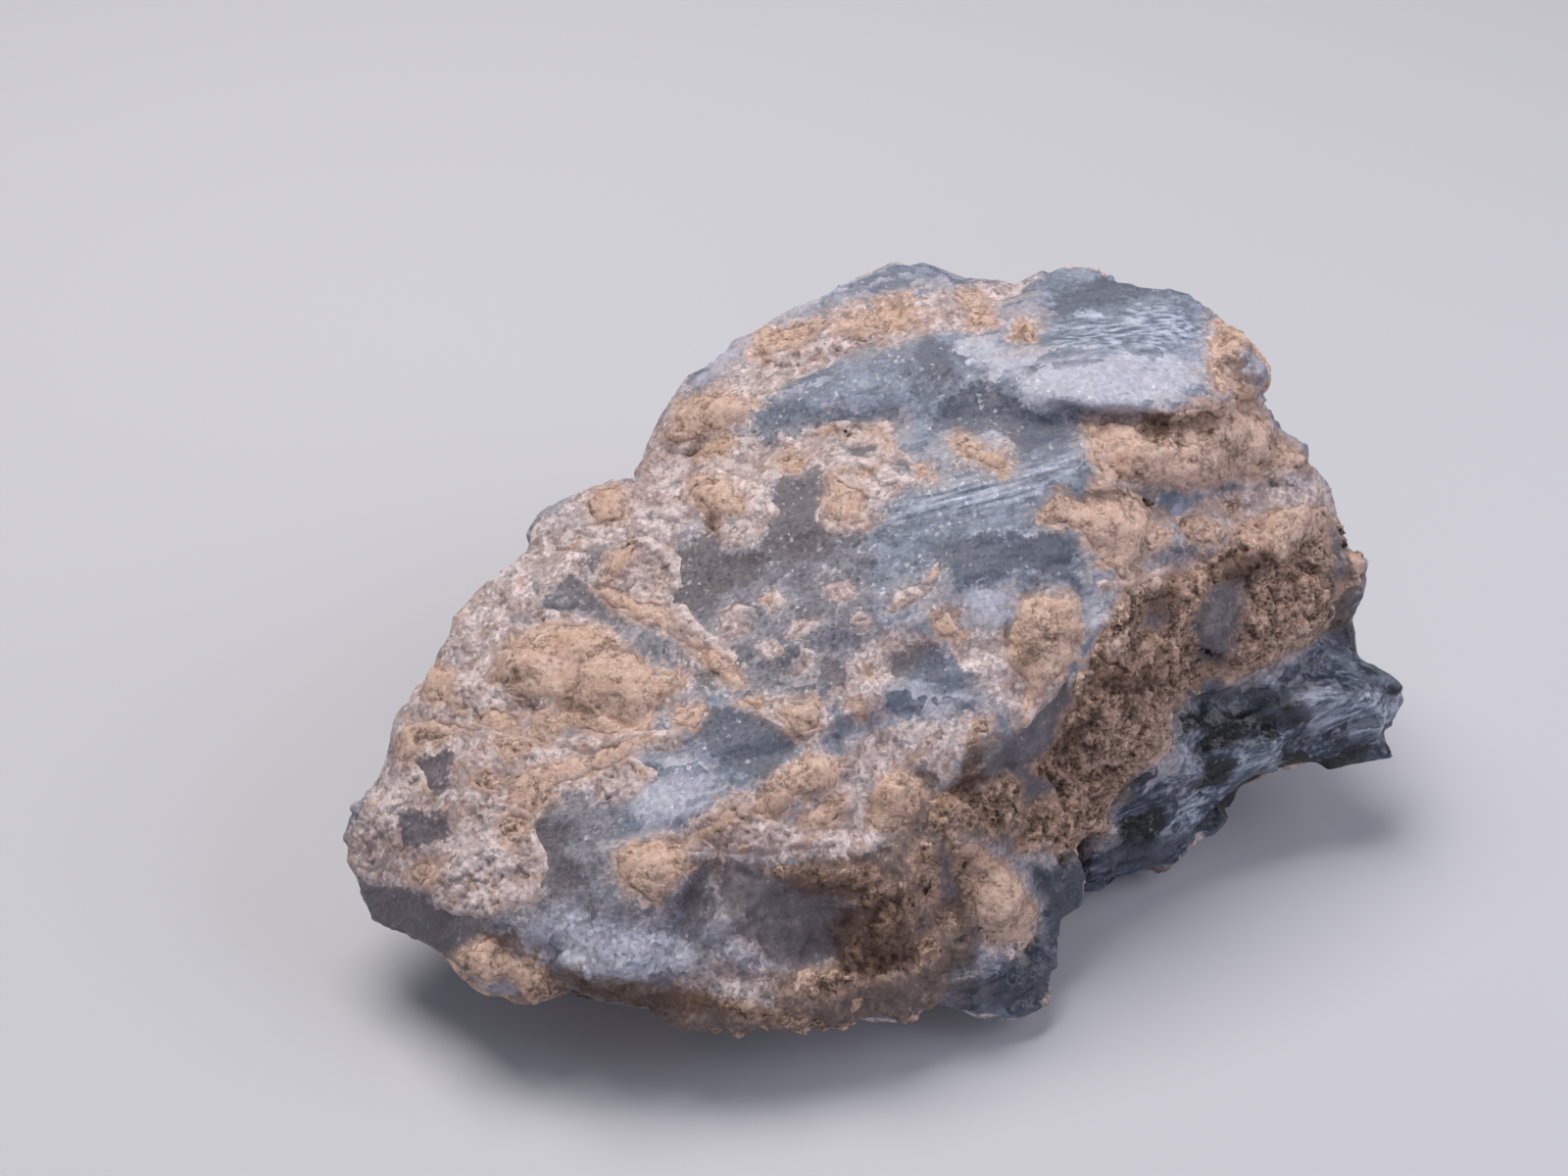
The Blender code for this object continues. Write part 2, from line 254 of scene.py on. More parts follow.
def finish_piece(piece, finish, slot, *solids):
    """Keeps the piece above the board, gives it its material and the root body, and hides its solids. The
    slot is not used.
    """
    points = points_of(piece)
    points[:, 2] = np.maximum(points[:, 2], 0)
    place_points(piece, points)
    piece.data.shade_smooth()
    piece.data.materials.append(finish)
    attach(piece, "root")
    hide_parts(*solids)


lump_names = [name for name in sorted(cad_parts) if name.startswith("matrix_")]
lumps = [solid_copy("lump_" + name, name) for name in lump_names]
stone = solid_copy("baryte_stone", "baryte")
solid_face = tree_of(stone)
outward = []
fillings = []
for name, lump in zip(lump_names, lumps):
    places = points_of(lump)
    depths = np.array([solid_face.find_nearest(Vector(p) * MM)[3] for p in places]) / MM
    exposed = depths > np.percentile(depths, EXPOSED_PERCENTILE)
    direction = places[exposed].mean(0) - places[~exposed].mean(0)
    outward.append(direction / np.linalg.norm(direction))
    filling = solid_copy("filling_" + name, name)
    place_points(filling, places + normals_of(lump) * SEAT_GROWTH - outward[-1] * SEAT_SINK)
    fillings.append(filling)
bpy.ops.mesh.primitive_ico_sphere_add(subdivisions=3, radius=MM)
crown_root = bpy.context.object
place_points(crown_root, points_of(crown_root) * CROWN_ROOT_SIZE + CROWN_ROOT)
only(stone, crown_root, *fillings)
bpy.ops.object.join()
regrid(stone, GRID, SOFTENING)
lump_tree = tree_of(*lumps)
lump_of_face = np.repeat(np.arange(len(lumps)), [len(lump.data.polygons) for lump in lumps])

# Where the picture shows each finish of the stone. Each patch is an outline of places in the picture,
# in a frame of 1600 by 1200, that gives its rough shape. Noise, from the seed that each finish starts
# with, then makes its edge ragged.
CLAY = 11, {
    "left field": ((503, 695), (510, 668), (545, 643), (605, 636), (650, 672), (660, 688), (700, 690),
                   (668, 715), (660, 735), (620, 752), (585, 743), (562, 705), (530, 714)),
    "left knob": ((482, 738), (500, 722), (520, 723), (531, 745), (505, 743)),
    "middle knob": ((545, 726), (560, 722), (570, 742), (560, 757), (540, 748)),
    "round spot": ((502, 756), (520, 752), (540, 760), (530, 772), (515, 777)),
    "left band": ((522, 797), (545, 783), (600, 770), (640, 755), (663, 750), (640, 768), (600, 792),
                  (562, 800), (565, 815), (543, 828), (530, 822)),
    "small oval": ((482, 798), (496, 786), (512, 798), (506, 808)),
    "low oval": ((509, 845), (518, 834), (536, 836), (536, 850), (522, 857)),
    "left edge": ((405, 772), (410, 744), (440, 736), (480, 743), (430, 755), (414, 780)),
    "edge spot": ((433, 712), (440, 682), (457, 688), (455, 716)),
    "brown spot": ((418, 893), (440, 880), (450, 884), (432, 904)),
    "vein": ((606, 600), (640, 612), (678, 621), (690, 640), (655, 632), (622, 612)),
    "vein foot": ((700, 648), (730, 664), (758, 702), (736, 690)),
    "vein head": ((618, 592), (625, 566), (648, 556), (640, 575)),
    "edge knob": ((599, 512), (618, 491), (634, 503), (634, 525), (608, 535)),
    "left rim": ((680, 445), (690, 418), (730, 398), (774, 414), (740, 432), (702, 446)),
    "back rim": ((768, 360), (778, 338), (832, 331), (812, 352)),
    "far rim": ((852, 338), (860, 326), (904, 312), (924, 303), (940, 330), (900, 338)),
    "rim spot": ((985, 302), (1002, 299), (1010, 328), (992, 331)),
    "hook": ((862, 440), (870, 450), (900, 440), (908, 462), (903, 446), (880, 446)),
    "crest": ((792, 474), (806, 456), (822, 464), (818, 480)),
    "inner spot": ((838, 505), (852, 486), (878, 502), (880, 528), (864, 530), (846, 532)),
    "pit": ((704, 500), (712, 488), (741, 486), (744, 506), (758, 509), (757, 522), (735, 520),
            (728, 543), (718, 520)),
    "pit rim": ((706, 472), (716, 456), (746, 448), (735, 464)),
    "chip": ((974, 448), (984, 446), (1000, 460), (1022, 470), (1026, 480), (985, 464)),
    "crumb": ((1008, 411), (1018, 424), (1012, 426)),
    "pale crumb": ((1036, 340), (1042, 330), (1054, 332), (1053, 341)),
    "dot": ((934, 484), (938, 478), (947, 483)),
    "middle spot": ((684, 736), (692, 722), (716, 721), (720, 732), (712, 743)),
    "spot in line": ((755, 713), (776, 711), (777, 723)),
    "right spot": ((794, 724), (834, 717), (838, 742), (814, 748)),
    "far spot": ((865, 716), (879, 718), (877, 728)),
    "lip left": ((706, 862), (712, 846), (748, 822), (758, 830), (735, 854)),
    "lip middle": ((760, 832), (795, 792), (825, 772), (854, 778), (852, 800), (802, 812), (790, 838)),
    "lip right": ((818, 838), (848, 812), (863, 812), (856, 834), (832, 844)),
    "lilac hollow": ((890, 842), (892, 806), (914, 786), (941, 797), (932, 830), (915, 850)),
    "right knob": ((1030, 655), (1045, 612), (1065, 606), (1088, 614), (1103, 645), (1084, 684),
                   (1062, 705), (1040, 738), (1053, 695), (1035, 678)),
    "wedge spot": ((952, 634), (966, 625), (980, 648), (958, 650)),
    "wedge foot": ((988, 738), (1006, 734), (1008, 750), (990, 757)),
    "shoulder": ((1062, 530), (1082, 503), (1104, 512), (1116, 492), (1150, 500), (1180, 522),
                 (1192, 545), (1165, 570), (1156, 590), (1122, 572), (1105, 536)),
    "under crown": ((1110, 434), (1172, 432), (1245, 414), (1275, 398), (1300, 445), (1340, 474),
                    (1275, 486), (1215, 496), (1130, 490), (1116, 462)),
    "tip": ((1236, 360), (1246, 330), (1268, 331), (1278, 346), (1256, 362), (1266, 392), (1246, 398)),
    "rim oval": ((1202, 534), (1225, 523), (1256, 542), (1240, 558), (1214, 549)),
    "small rim oval": ((1240, 517), (1266, 508), (1262, 520)),
    "flank": ((1150, 600), (1215, 580), (1252, 562), (1262, 538), (1300, 520), (1354, 516), (1386, 550),
              (1390, 580), (1372, 600), (1350, 624), (1330, 652), (1262, 690), (1230, 680), (1192, 722),
              (1186, 762), (1140, 792), (1122, 846), (1060, 866), (1040, 866), (1056, 826), (1096, 800),
              (1060, 784), (1086, 736), (1104, 690), (1124, 652)),
    "foot left": ((1000, 818), (1010, 800), (1034, 800), (1040, 834), (1012, 850)),
    "hollow": ((948, 846), (960, 815), (986, 808), (1000, 830), (975, 850)),
    "fin": ((972, 862), (994, 862), (1030, 890), (1058, 932), (1038, 960), (1014, 958), (988, 920)),
    "fin strip": ((932, 880), (940, 860), (954, 866), (955, 908), (946, 926)),
    "fin dot": ((960, 932), (973, 936), (971, 946), (960, 944)),
    "low dot": ((938, 964), (950, 955), (957, 976), (940, 980)),
    "front knob": ((632, 872), (648, 860), (698, 860), (698, 892), (672, 921), (640, 906)),
    "corner knob": ((465, 968), (482, 958), (515, 972), (520, 990), (498, 1002), (472, 988)),
    "corner foot": ((522, 984), (545, 986), (565, 1012), (548, 1027), (528, 1000)),
    "under band": ((800, 1010), (820, 996), (895, 988), (885, 1004), (840, 1012)),
    "recess lip": ((786, 892), (830, 886), (880, 886), (902, 900), (866, 914), (805, 905)),
    "recess right": ((842, 965), (856, 932), (884, 914), (926, 902), (930, 985), (885, 1000),
                     (848, 988)),
    "under foot": ((700, 1020), (760, 1024), (820, 1040), (780, 1040)),
}
CRUST = 21, {
    "left corner": ((354, 880), (362, 840), (402, 832), (404, 868), (380, 886)),
    "left front": ((440, 905), (452, 880), (500, 846), (548, 850), (556, 884), (540, 918), (498, 936),
                   (446, 926)),
    "left middle": ((468, 860), (470, 780), (500, 745), (545, 752), (560, 800), (540, 832), (500, 842)),
    "left edge": ((400, 812), (402, 782), (420, 780), (432, 792), (440, 812)),
    "left rise": ((440, 735), (450, 700), (500, 700), (545, 702), (560, 722), (530, 748)),
    "field rim": ((560, 760), (600, 748), (640, 748), (700, 742), (690, 760), (620, 770)),
    "field foot": ((610, 820), (612, 790), (640, 775), (668, 790), (640, 815)),
    "back of field": ((500, 690), (520, 640), (560, 620), (610, 635), (540, 645)),
    "vein": ((598, 586), (640, 600), (682, 608), (716, 640), (748, 672), (736, 676), (690, 650),
             (640, 626)),
    "upper left": ((600, 600), (622, 560), (660, 545), (690, 560), (700, 598), (650, 606)),
    "far left": ((560, 560), (590, 538), (640, 540), (610, 562)),
    "pit left": ((640, 530), (660, 470), (705, 450), (712, 488), (704, 530)),
    "pit right": ((735, 562), (742, 525), (775, 500), (790, 520), (770, 545)),
    "crest": ((700, 460), (760, 446), (790, 466), (830, 440), (850, 434), (820, 470), (780, 495),
              (745, 480)),
    "inner": ((836, 540), (836, 486), (870, 466), (905, 470), (935, 490), (895, 520), (880, 542)),
    "hook": ((850, 432), (905, 436), (915, 462), (945, 476), (950, 488), (900, 470), (860, 448)),
    "back": ((775, 400), (780, 365), (850, 345), (985, 312), (990, 328), (870, 354), (810, 385)),
    "blob": ((735, 645), (732, 622), (750, 612), (770, 622), (765, 645)),
    "white blob": ((768, 612), (790, 602), (806, 612), (790, 624)),
    "right blob": ((800, 650), (812, 632), (838, 634), (822, 648)),
    "low blob": ((806, 690), (818, 662), (832, 664), (826, 688)),
    "crumb": ((772, 660), (790, 650), (802, 664), (784, 674)),
    "crumb above": ((846, 600), (864, 594), (870, 606), (852, 613)),
    "crumb right": ((880, 676), (892, 668), (902, 680), (888, 690)),
    "pale blob": ((866, 636), (876, 624), (890, 632), (884, 642)),
    "line": ((898, 624), (915, 606), (942, 596), (958, 578), (950, 602), (912, 628)),
    "spots' edge": ((786, 730), (800, 712), (842, 712), (846, 742), (822, 754)),
    "ridge": ((702, 866), (710, 838), (760, 812), (800, 842), (870, 838), (864, 858), (790, 872),
              (740, 870)),
    "ridge right": ((850, 780), (868, 768), (872, 830), (856, 842)),
    "shoulder rim": ((1118, 596), (1150, 592), (1215, 572), (1222, 588), (1160, 600)),
    "whitish strip": ((1120, 480), (1150, 492), (1180, 500), (1165, 505), (1128, 494)),
    "rim": ((1204, 528), (1232, 510), (1300, 496), (1356, 500), (1352, 516), (1290, 520), (1240, 520)),
    "tip": ((1242, 350), (1258, 342), (1276, 350), (1262, 362)),
    "knob edge": ((1062, 700), (1088, 690), (1070, 716), (1044, 742)),
}
RECESS = ((738, 880), (850, 905), (882, 922), (862, 985), (800, 990), (748, 952), (728, 900))
FILM = 71, {
    "left": ((345, 880), (395, 760), (460, 610), (520, 545), (640, 480), (700, 390), (720, 452),
             (704, 536), (688, 560), (700, 600), (600, 590), (560, 604), (545, 640), (500, 690),
             (520, 742), (600, 760), (650, 765), (640, 800), (570, 806), (545, 840), (552, 915),
             (500, 936), (440, 905), (370, 905)),
    "back": ((716, 402), (770, 358), (860, 312), (985, 292), (1062, 283), (1030, 305), (975, 330),
             (860, 352), (800, 392), (775, 418), (700, 450)),
    "crest": ((700, 450), (750, 440), (790, 470), (830, 440), (850, 434), (870, 466), (912, 472),
              (932, 492), (880, 532), (850, 545), (836, 520), (830, 484), (790, 476), (785, 520),
              (742, 565), (735, 530)),
    "wedge": ((948, 648), (985, 640), (1028, 642), (1052, 700), (1036, 742), (1012, 712), (976, 672)),
    "ridge": ((850, 782), (880, 750), (940, 732), (988, 742), (982, 778), (958, 806), (925, 782),
              (895, 800), (886, 850), (912, 860), (880, 872), (790, 880), (720, 872), (700, 866),
              (800, 842)),
    "rim": ((1204, 526), (1232, 508), (1300, 478), (1350, 480), (1356, 512), (1262, 524)),
    "window edge": ((1000, 470), (1036, 440), (1040, 470), (1020, 482)),
    "middle haze": ((850, 690), (910, 640), (960, 650), (905, 700), (905, 730), (850, 716)),
    "under": ((690, 1000), (740, 980), (790, 1000), (790, 1030), (730, 1022)),
    "knob side": ((1160, 640), (1150, 600), (1215, 578), (1160, 606)),
    "recess": RECESS,
}
FROST = 31, {
    "crown": ((1030, 406), (1040, 370), (1110, 360), (1240, 356), (1246, 406), (1170, 420),
              (1062, 424)),
    "back edge": ((700, 392), (745, 340), (800, 300), (870, 275), (930, 262), (940, 276), (890, 293),
                  (830, 312), (790, 334), (750, 372), (716, 398)),
    "crown left": ((965, 338), (990, 334), (1062, 362), (1060, 412), (985, 368)),
    "bright flake": ((803, 397), (826, 380), (840, 384), (838, 398)),
    "haze": ((962, 648), (984, 600), (1040, 582), (1054, 612), (1042, 652)),
    "cloud": ((630, 832), (640, 785), (690, 772), (735, 784), (762, 810), (700, 846), (650, 850)),
    "front bulge": ((528, 935), (565, 922), (640, 945), (700, 960), (712, 992), (640, 1008),
                    (575, 990)),
    "bulge foot": ((730, 950), (748, 960), (800, 1000), (770, 1000)),
    "knob edge": ((1102, 640), (1126, 614), (1148, 622), (1116, 680), (1092, 702), (1104, 664)),
    "white chip": ((986, 448), (1016, 433), (1034, 452), (1028, 466), (1010, 462)),
    "slab": ((715, 706), (745, 694), (740, 706)),
    "pale patch": ((884, 724), (890, 700), (930, 697), (992, 706), (984, 730), (930, 730)),
    "fin edge": ((1072, 974), (1084, 952), (1104, 950), (1098, 980)),
}
DARK = 41, {
    "upper window": ((684, 566), (720, 538), (742, 546), (734, 564), (752, 562), (786, 566), (772, 592),
                     (742, 606), (716, 624), (676, 620), (688, 590)),
    "grey window": ((790, 476), (812, 482), (836, 476), (850, 500), (836, 528), (860, 544), (846, 566),
                    (806, 582), (774, 560), (790, 520)),
    "left window": ((405, 868), (399, 848), (414, 824), (462, 834), (456, 860), (420, 868)),
    "left upper window": ((426, 776), (462, 758), (466, 776), (454, 806), (436, 804)),
    "lavender facet": ((374, 908), (436, 906), (442, 926), (500, 938), (486, 962), (456, 976),
                      (382, 938)),
    "mottled": ((560, 818), (578, 812), (560, 842), (598, 836), (576, 862), (604, 904), (560, 918),
                (554, 880), (543, 846)),
    "slate window": ((702, 752), (722, 724), (770, 724), (816, 752), (782, 798), (740, 786)),
    "recess": RECESS,
    "right window": ((905, 674), (930, 655), (956, 658), (972, 698), (950, 692), (912, 694)),
    "small windows": ((836, 668), (860, 664), (862, 700), (838, 696)),
    "vein window": ((702, 688), (722, 679), (738, 690), (716, 701)),
    "band": ((984, 794), (1000, 750), (1040, 740), (1082, 698), (1102, 708), (1074, 762), (1048, 792)),
    "foot window": ((1044, 818), (1050, 792), (1082, 796), (1076, 812)),
    "fin strip": ((956, 862), (970, 866), (982, 918), (958, 924)),
    "flank window": ((1212, 640), (1230, 598), (1274, 584), (1272, 646), (1250, 680), (1226, 676)),
    "flank chip": ((1162, 642), (1170, 610), (1196, 604), (1200, 632), (1184, 648)),
    "shoulder window": ((1178, 552), (1216, 560), (1208, 570), (1182, 564)),
    "ledge": ((1166, 508), (1196, 506), (1202, 522), (1184, 534)),
    "ledge right": ((1230, 500), (1240, 491), (1266, 492), (1256, 503)),
    "right edge": ((1356, 524), (1374, 552), (1384, 582), (1368, 600), (1362, 640), (1378, 640),
                   (1380, 680), (1350, 660), (1358, 600)),
    "rim window": ((1290, 488), (1330, 498), (1296, 500)),
    "hook": ((856, 448), (900, 446), (896, 464), (866, 463)),
    "green slate": ((950, 436), (965, 400), (1000, 388), (1062, 424), (1112, 426), (1110, 442),
                    (1045, 460), (1020, 440), (985, 442)),
    "blue slate": ((926, 362), (946, 345), (966, 346), (984, 392), (960, 400)),
    "lavender window": ((562, 604), (576, 580), (600, 596), (656, 640), (610, 634)),
    "crack": ((590, 578), (622, 544), (630, 546), (608, 582)),
    "sparkly": ((694, 932), (700, 892), (716, 892), (722, 930), (706, 944)),
    "shade band": ((950, 560), (1020, 540), (1100, 545), (1096, 590), (1040, 585), (980, 600)),
    "mid window": ((662, 800), (658, 782), (672, 780), (672, 802)),
    "right tip": ((1254, 372), (1276, 362), (1272, 390), (1260, 392)),
    "green crown": ((1060, 300), (1120, 282), (1190, 290), (1160, 304), (1100, 320), (1070, 318)),
}
DEEP = 51, {
    "right edge": ((1354, 540), (1385, 540), (1450, 640), (1450, 700), (1390, 690), (1345, 650),
                   (1362, 600)),
    "lower mass": ((1122, 846), (1140, 790), (1190, 748), (1206, 705), (1280, 680), (1312, 664),
                   (1345, 640), (1390, 690), (1450, 700), (1440, 790), (1310, 800), (1260, 850),
                   (1200, 890), (1090, 910), (1096, 868)),
    "fin": ((1004, 1020), (1000, 980), (1040, 962), (1060, 930), (1040, 868), (1100, 858), (1112, 945),
            (1076, 1030), (1030, 1034)),
    "fin foot": ((960, 985), (1000, 965), (1004, 1040), (980, 1050)),
}
# Limonite stain, partly painted shade: the dark brown also lies at the feet of knobs, under the crown's
# lip, on the underside and in the front recess, where shade falls.
RUST = 61, {
    "ridge spot": ((946, 790), (950, 782), (958, 786), (955, 794)),
    "under ridge": ((960, 820), (975, 795), (990, 752), (1002, 760), (1000, 812)),
    "recess": ((850, 992), (844, 942), (880, 918), (930, 906), (934, 984), (890, 1000)),
    "recess lip": ((786, 902), (830, 886), (900, 900), (880, 920), (820, 915)),
    "pit": ((718, 545), (722, 515), (736, 520), (732, 545)),
    "flank": ((1240, 590), (1265, 560), (1300, 560), (1300, 580), (1262, 600)),
    "low flank": ((1108, 705), (1112, 682), (1190, 688), (1180, 712)),
    "low pits": ((1076, 776), (1084, 742), (1104, 744), (1104, 772)),
    "knob foot": ((1062, 716), (1084, 690), (1090, 696), (1072, 718)),
    "crown foot": ((1160, 440), (1166, 422), (1200, 424), (1196, 448)),
    "crown foot right": ((1196, 445), (1206, 425), (1230, 424), (1206, 446)),
    "shoulder foot": ((1172, 606), (1180, 594), (1210, 596), (1200, 628), (1170, 632)),
    "corner": ((490, 952), (520, 945), (550, 980), (520, 978)),
    "under": ((560, 1010), (700, 1005), (780, 1040), (640, 1030)),
    "fin strip": ((928, 905), (940, 895), (950, 905), (946, 920)),
}
# Brown earthy stain, partly painted shade: the lower right flank, the underside, the fin and the slot
# under the crown are laid darker brown here because they lie in shade.
EARTH = 45, {
    "fin": ((930, 858), (976, 860), (990, 920), (1008, 962), (970, 950), (940, 930)),
    "right flank": ((1130, 640), (1160, 600), (1225, 584), (1256, 550), (1300, 562), (1365, 545),
                    (1390, 590), (1370, 640), (1345, 640), (1312, 664), (1206, 705), (1190, 748),
                    (1122, 846), (1100, 870), (1040, 868), (1000, 850), (950, 850), (960, 810),
                    (992, 780), (1046, 790), (1082, 720), (1108, 690)),
    "crown slot": ((1160, 436), (1170, 428), (1206, 430), (1200, 452), (1170, 452)),
    "under ridge": ((700, 880), (780, 884), (860, 872), (905, 860), (950, 800), (975, 830), (972, 900),
                    (1000, 965), (960, 1000), (960, 1060), (760, 1060), (560, 1040), (530, 1020),
                    (560, 985), (620, 1002), (720, 1008), (790, 996), (850, 990), (850, 930),
                    (820, 905), (740, 892)),
}
# Silky streaks along the fibre: the pale lines are partly the fibres' own colour and partly painted sheen.
SILK = 35, {
    "crown top": ((1060, 338), (1120, 312), (1180, 300), (1232, 322), (1240, 352), (1120, 362)),
    "crown sheet": ((1130, 372), (1200, 364), (1236, 380), (1236, 406), (1160, 414), (1120, 400)),
    "band": ((880, 545), (905, 515), (960, 490), (1050, 470), (1110, 460), (1106, 505), (1030, 520),
             (950, 540)),
    "shade": ((950, 560), (1020, 535), (1100, 540), (1096, 600), (1040, 590), (980, 600)),
    "knob edge": ((1102, 640), (1126, 614), (1150, 622), (1116, 690), (1092, 702), (1104, 664)),
    "blade joint": ((1290, 700), (1310, 668), (1330, 664), (1308, 704)),
    "blade": ((1320, 708), (1440, 700), (1444, 738), (1340, 742)),
    "lower streaks": ((1166, 802), (1184, 764), (1222, 752), (1228, 790), (1196, 812)),
    "right streaks": ((1240, 790), (1256, 764), (1292, 746), (1314, 760), (1284, 794)),
    "foot streaks": ((1190, 842), (1206, 812), (1240, 808), (1226, 838)),
}
SMOKE = 36, {
    "fin": ((1000, 1045), (1004, 1000), (1040, 962), (1060, 930), (1040, 868), (1100, 858), (1112, 945),
            (1076, 1030), (1030, 1034)),
    "upper facets": ((1190, 720), (1210, 700), (1290, 680), (1296, 720), (1240, 730)),
    "blade top": ((1306, 700), (1350, 694), (1444, 700), (1440, 744), (1330, 750)),
    "foot": ((1110, 880), (1130, 858), (1215, 848), (1200, 884), (1120, 896)),
    "joint": ((1284, 690), (1300, 665), (1340, 650), (1310, 745), (1290, 745)),
}
OLIVE = 38, {
    "left": ((340, 980), (350, 860), (460, 610), (560, 540), (700, 440), (840, 430), (910, 470),
             (885, 560), (900, 690), (850, 716), (700, 712), (640, 770), (640, 860), (610, 910),
             (530, 950), (490, 985), (400, 990)),
    "band": ((984, 794), (1000, 750), (1040, 740), (1082, 698), (1110, 700), (1080, 770), (1048, 795)),
    "bulge": ((540, 925), (640, 905), (740, 896), (800, 990), (700, 1012), (590, 1000)),
    "front": ((700, 880), (860, 860), (960, 850), (980, 920), (1000, 1000), (960, 1060), (700, 1040),
              (600, 1010), (740, 985)),
    "flank": ((1180, 540), (1300, 480), (1370, 500), (1380, 640), (1230, 680), (1130, 800), (1110, 780),
              (1100, 690), (1150, 590)),
}
PIXELS_PER_MM = 13.3
LUMP_MARGIN = 1.0
RAGGED_EDGE = 0.7
RAGGED_SIZE = 2.6
GRAZING = 0.15
UNSEEN_PATCH = 8.0
UNSEEN_DEPTH = 3.2
FIELD_LIMIT = 3.0


def chance(cells, seed):
    """A number from -1 to 1 for each cell of a lattice, the same each time."""
    mixed = cells[:, 0] * 73856093 ^ cells[:, 1] * 19349663 ^ cells[:, 2] * 83492791 ^ seed * 2654435761
    mixed = (mixed ^ (mixed >> 13)) * 1274126177
    return ((mixed ^ (mixed >> 16)) & 0xFFFF) / 32767.5 - 1


def noise_at(points, size, seed):
    """Smooth noise from -1 to 1 with bumps of about this size."""
    scaled = points / size
    base = np.floor(scaled).astype(np.int64)
    part = scaled - base
    fade = part * part * (3 - 2 * part)
    total = np.zeros(len(points))
    for corner in itertools.product((0, 1), repeat=3):
        weight = [fade[:, i] if corner[i] else 1 - fade[:, i] for i in range(3)]
        total += chance(base + corner, seed) * weight[0] * weight[1] * weight[2]
    return total


def rough_noise(points, size, seed, octaves=4, fall=0.6):
    """Layers of noise, each half as wide as the one before and weaker by the fall."""
    layers = range(octaves)
    total = sum(fall ** i * noise_at(points, size / 2 ** i, seed + i) for i in layers)
    return total / sum(fall ** i for i in layers)


def eased(values, low, high):
    """0 below the low value, 1 above the high one, and smooth between them."""
    share = np.clip((values - low) / (high - low), 0, 1)
    return share * share * (3 - 2 * share)


def in_picture(points):
    """Where each point is in the picture, across and down."""
    offset = points - np.array(eye)
    scale = LENS / SENSOR * PICTURE_WIDTH / (offset @ np.array(ahead))
    return np.stack([PICTURE_WIDTH / 2 + offset[:, 0] * scale,
                     PICTURE_HEIGHT / 2 - offset @ np.array(above) * scale], 1)


def drawn(places, patches):
    """How far inside the outlines each place is, in millimetres: below zero outside all of them."""
    reach = FIELD_LIMIT * PIXELS_PER_MM
    best = np.full(len(places), -reach)
    for outline in patches.values():
        corners = np.array(outline, float)
        near = ((places > corners.min(0) - reach) & (places < corners.max(0) + reach)).all(1)
        spots = places[near]
        distance = np.full(len(spots), 1e9)
        inside = np.zeros(len(spots), bool)
        for start, end in zip(corners, np.roll(corners, -1, 0)):
            run = end - start
            offset = spots - start
            share = np.clip(offset @ run / (run @ run), 0, 1)
            distance = np.minimum(distance, np.linalg.norm(offset - share[:, None] * run, axis=1))
            crossed = (start[1] > spots[:, 1]) != (end[1] > spots[:, 1])
            level = (spots[:, 1] - start[1]) / (run[1] or 1e-9)
            inside ^= crossed & (offset[:, 0] < run[0] * level)
        best[near] = np.maximum(best[near], np.where(inside, distance, -distance))
    return best / PIXELS_PER_MM


def zone(points, normals, finish, unseen, known=-99.0):
    """How far inside a finish each point is, in millimetres, with a ragged edge. Where the picture
    doesn't show the stone, the finish lies in patches, more of them the higher unseen is, and in the
    places that are known."""
    seed, patches = finish
    towards_eye = np.array(eye) - points
    towards_eye /= np.linalg.norm(towards_eye, axis=1)[:, None]
    seen = eased((normals * towards_eye).sum(1), -GRAZING, GRAZING)
    hidden = np.maximum(UNSEEN_DEPTH * noise_at(points, UNSEEN_PATCH, seed + 50) + unseen, known)
    field = seen * np.minimum(drawn(in_picture(points), patches), FIELD_LIMIT) + (1 - seen) * hidden
    return field + RAGGED_EDGE * rough_noise(points, RAGGED_SIZE, seed, 4, 0.75)


def clay_zone(points, normals):
    """How far inside the clay each point is, and which lump is nearest to it."""
    nearest = [lump_tree.find_nearest(Vector(point) * MM) for point in points]
    gap = np.array([found[3] for found in nearest]) / MM
    nearest_lump = lump_of_face[[found[2] for found in nearest]]
    return zone(points, normals, CLAY, -2.3, LUMP_MARGIN - gap), nearest_lump


# Relief of the stone. Baryte cleaves in flat sheets, so its open faces are nearly smooth, with low
# ridges along the crystals. Its broken sides are tilted facets, with rubble where they are earthy. It
# lies a little lower under clay, and a step that the real one doesn't have is worn away by the crown.
FIBRE = Vector((0.945, 0.045, 0.325)).normalized()
SHEET_NORMAL = Vector((-0.34, -0.38, 0.86)).normalized()
COARSE_FACETS = (4.5, 0.22, 0.25)
SMALL_FACETS = (1.8, 0.25, 0.09)
RUBBLE = ((1.6, 0.45, 0.2), (0.8, 0.4, 0.1))
WORN_SMOOTH = 100
STONE_TRIANGLES = 196000
LOWER_RIGHT_X, LOWER_RIGHT_Z = (8, 20), (20, 12)
BLADES_X = (30, 34)
WORN = 97, {
    "under crown": ((725, 450), (740, 412), (860, 400), (1000, 396), (1056, 416), (1066, 446), (1000, 456),
                    (860, 462)),
}


def along_fibre(points, stretch):
    """The points drawn together along the fibre, so that noise read there runs along it."""
    fibre = np.array(FIBRE)
    return points - np.outer((points @ fibre) * (1 - 1 / stretch), fibre)


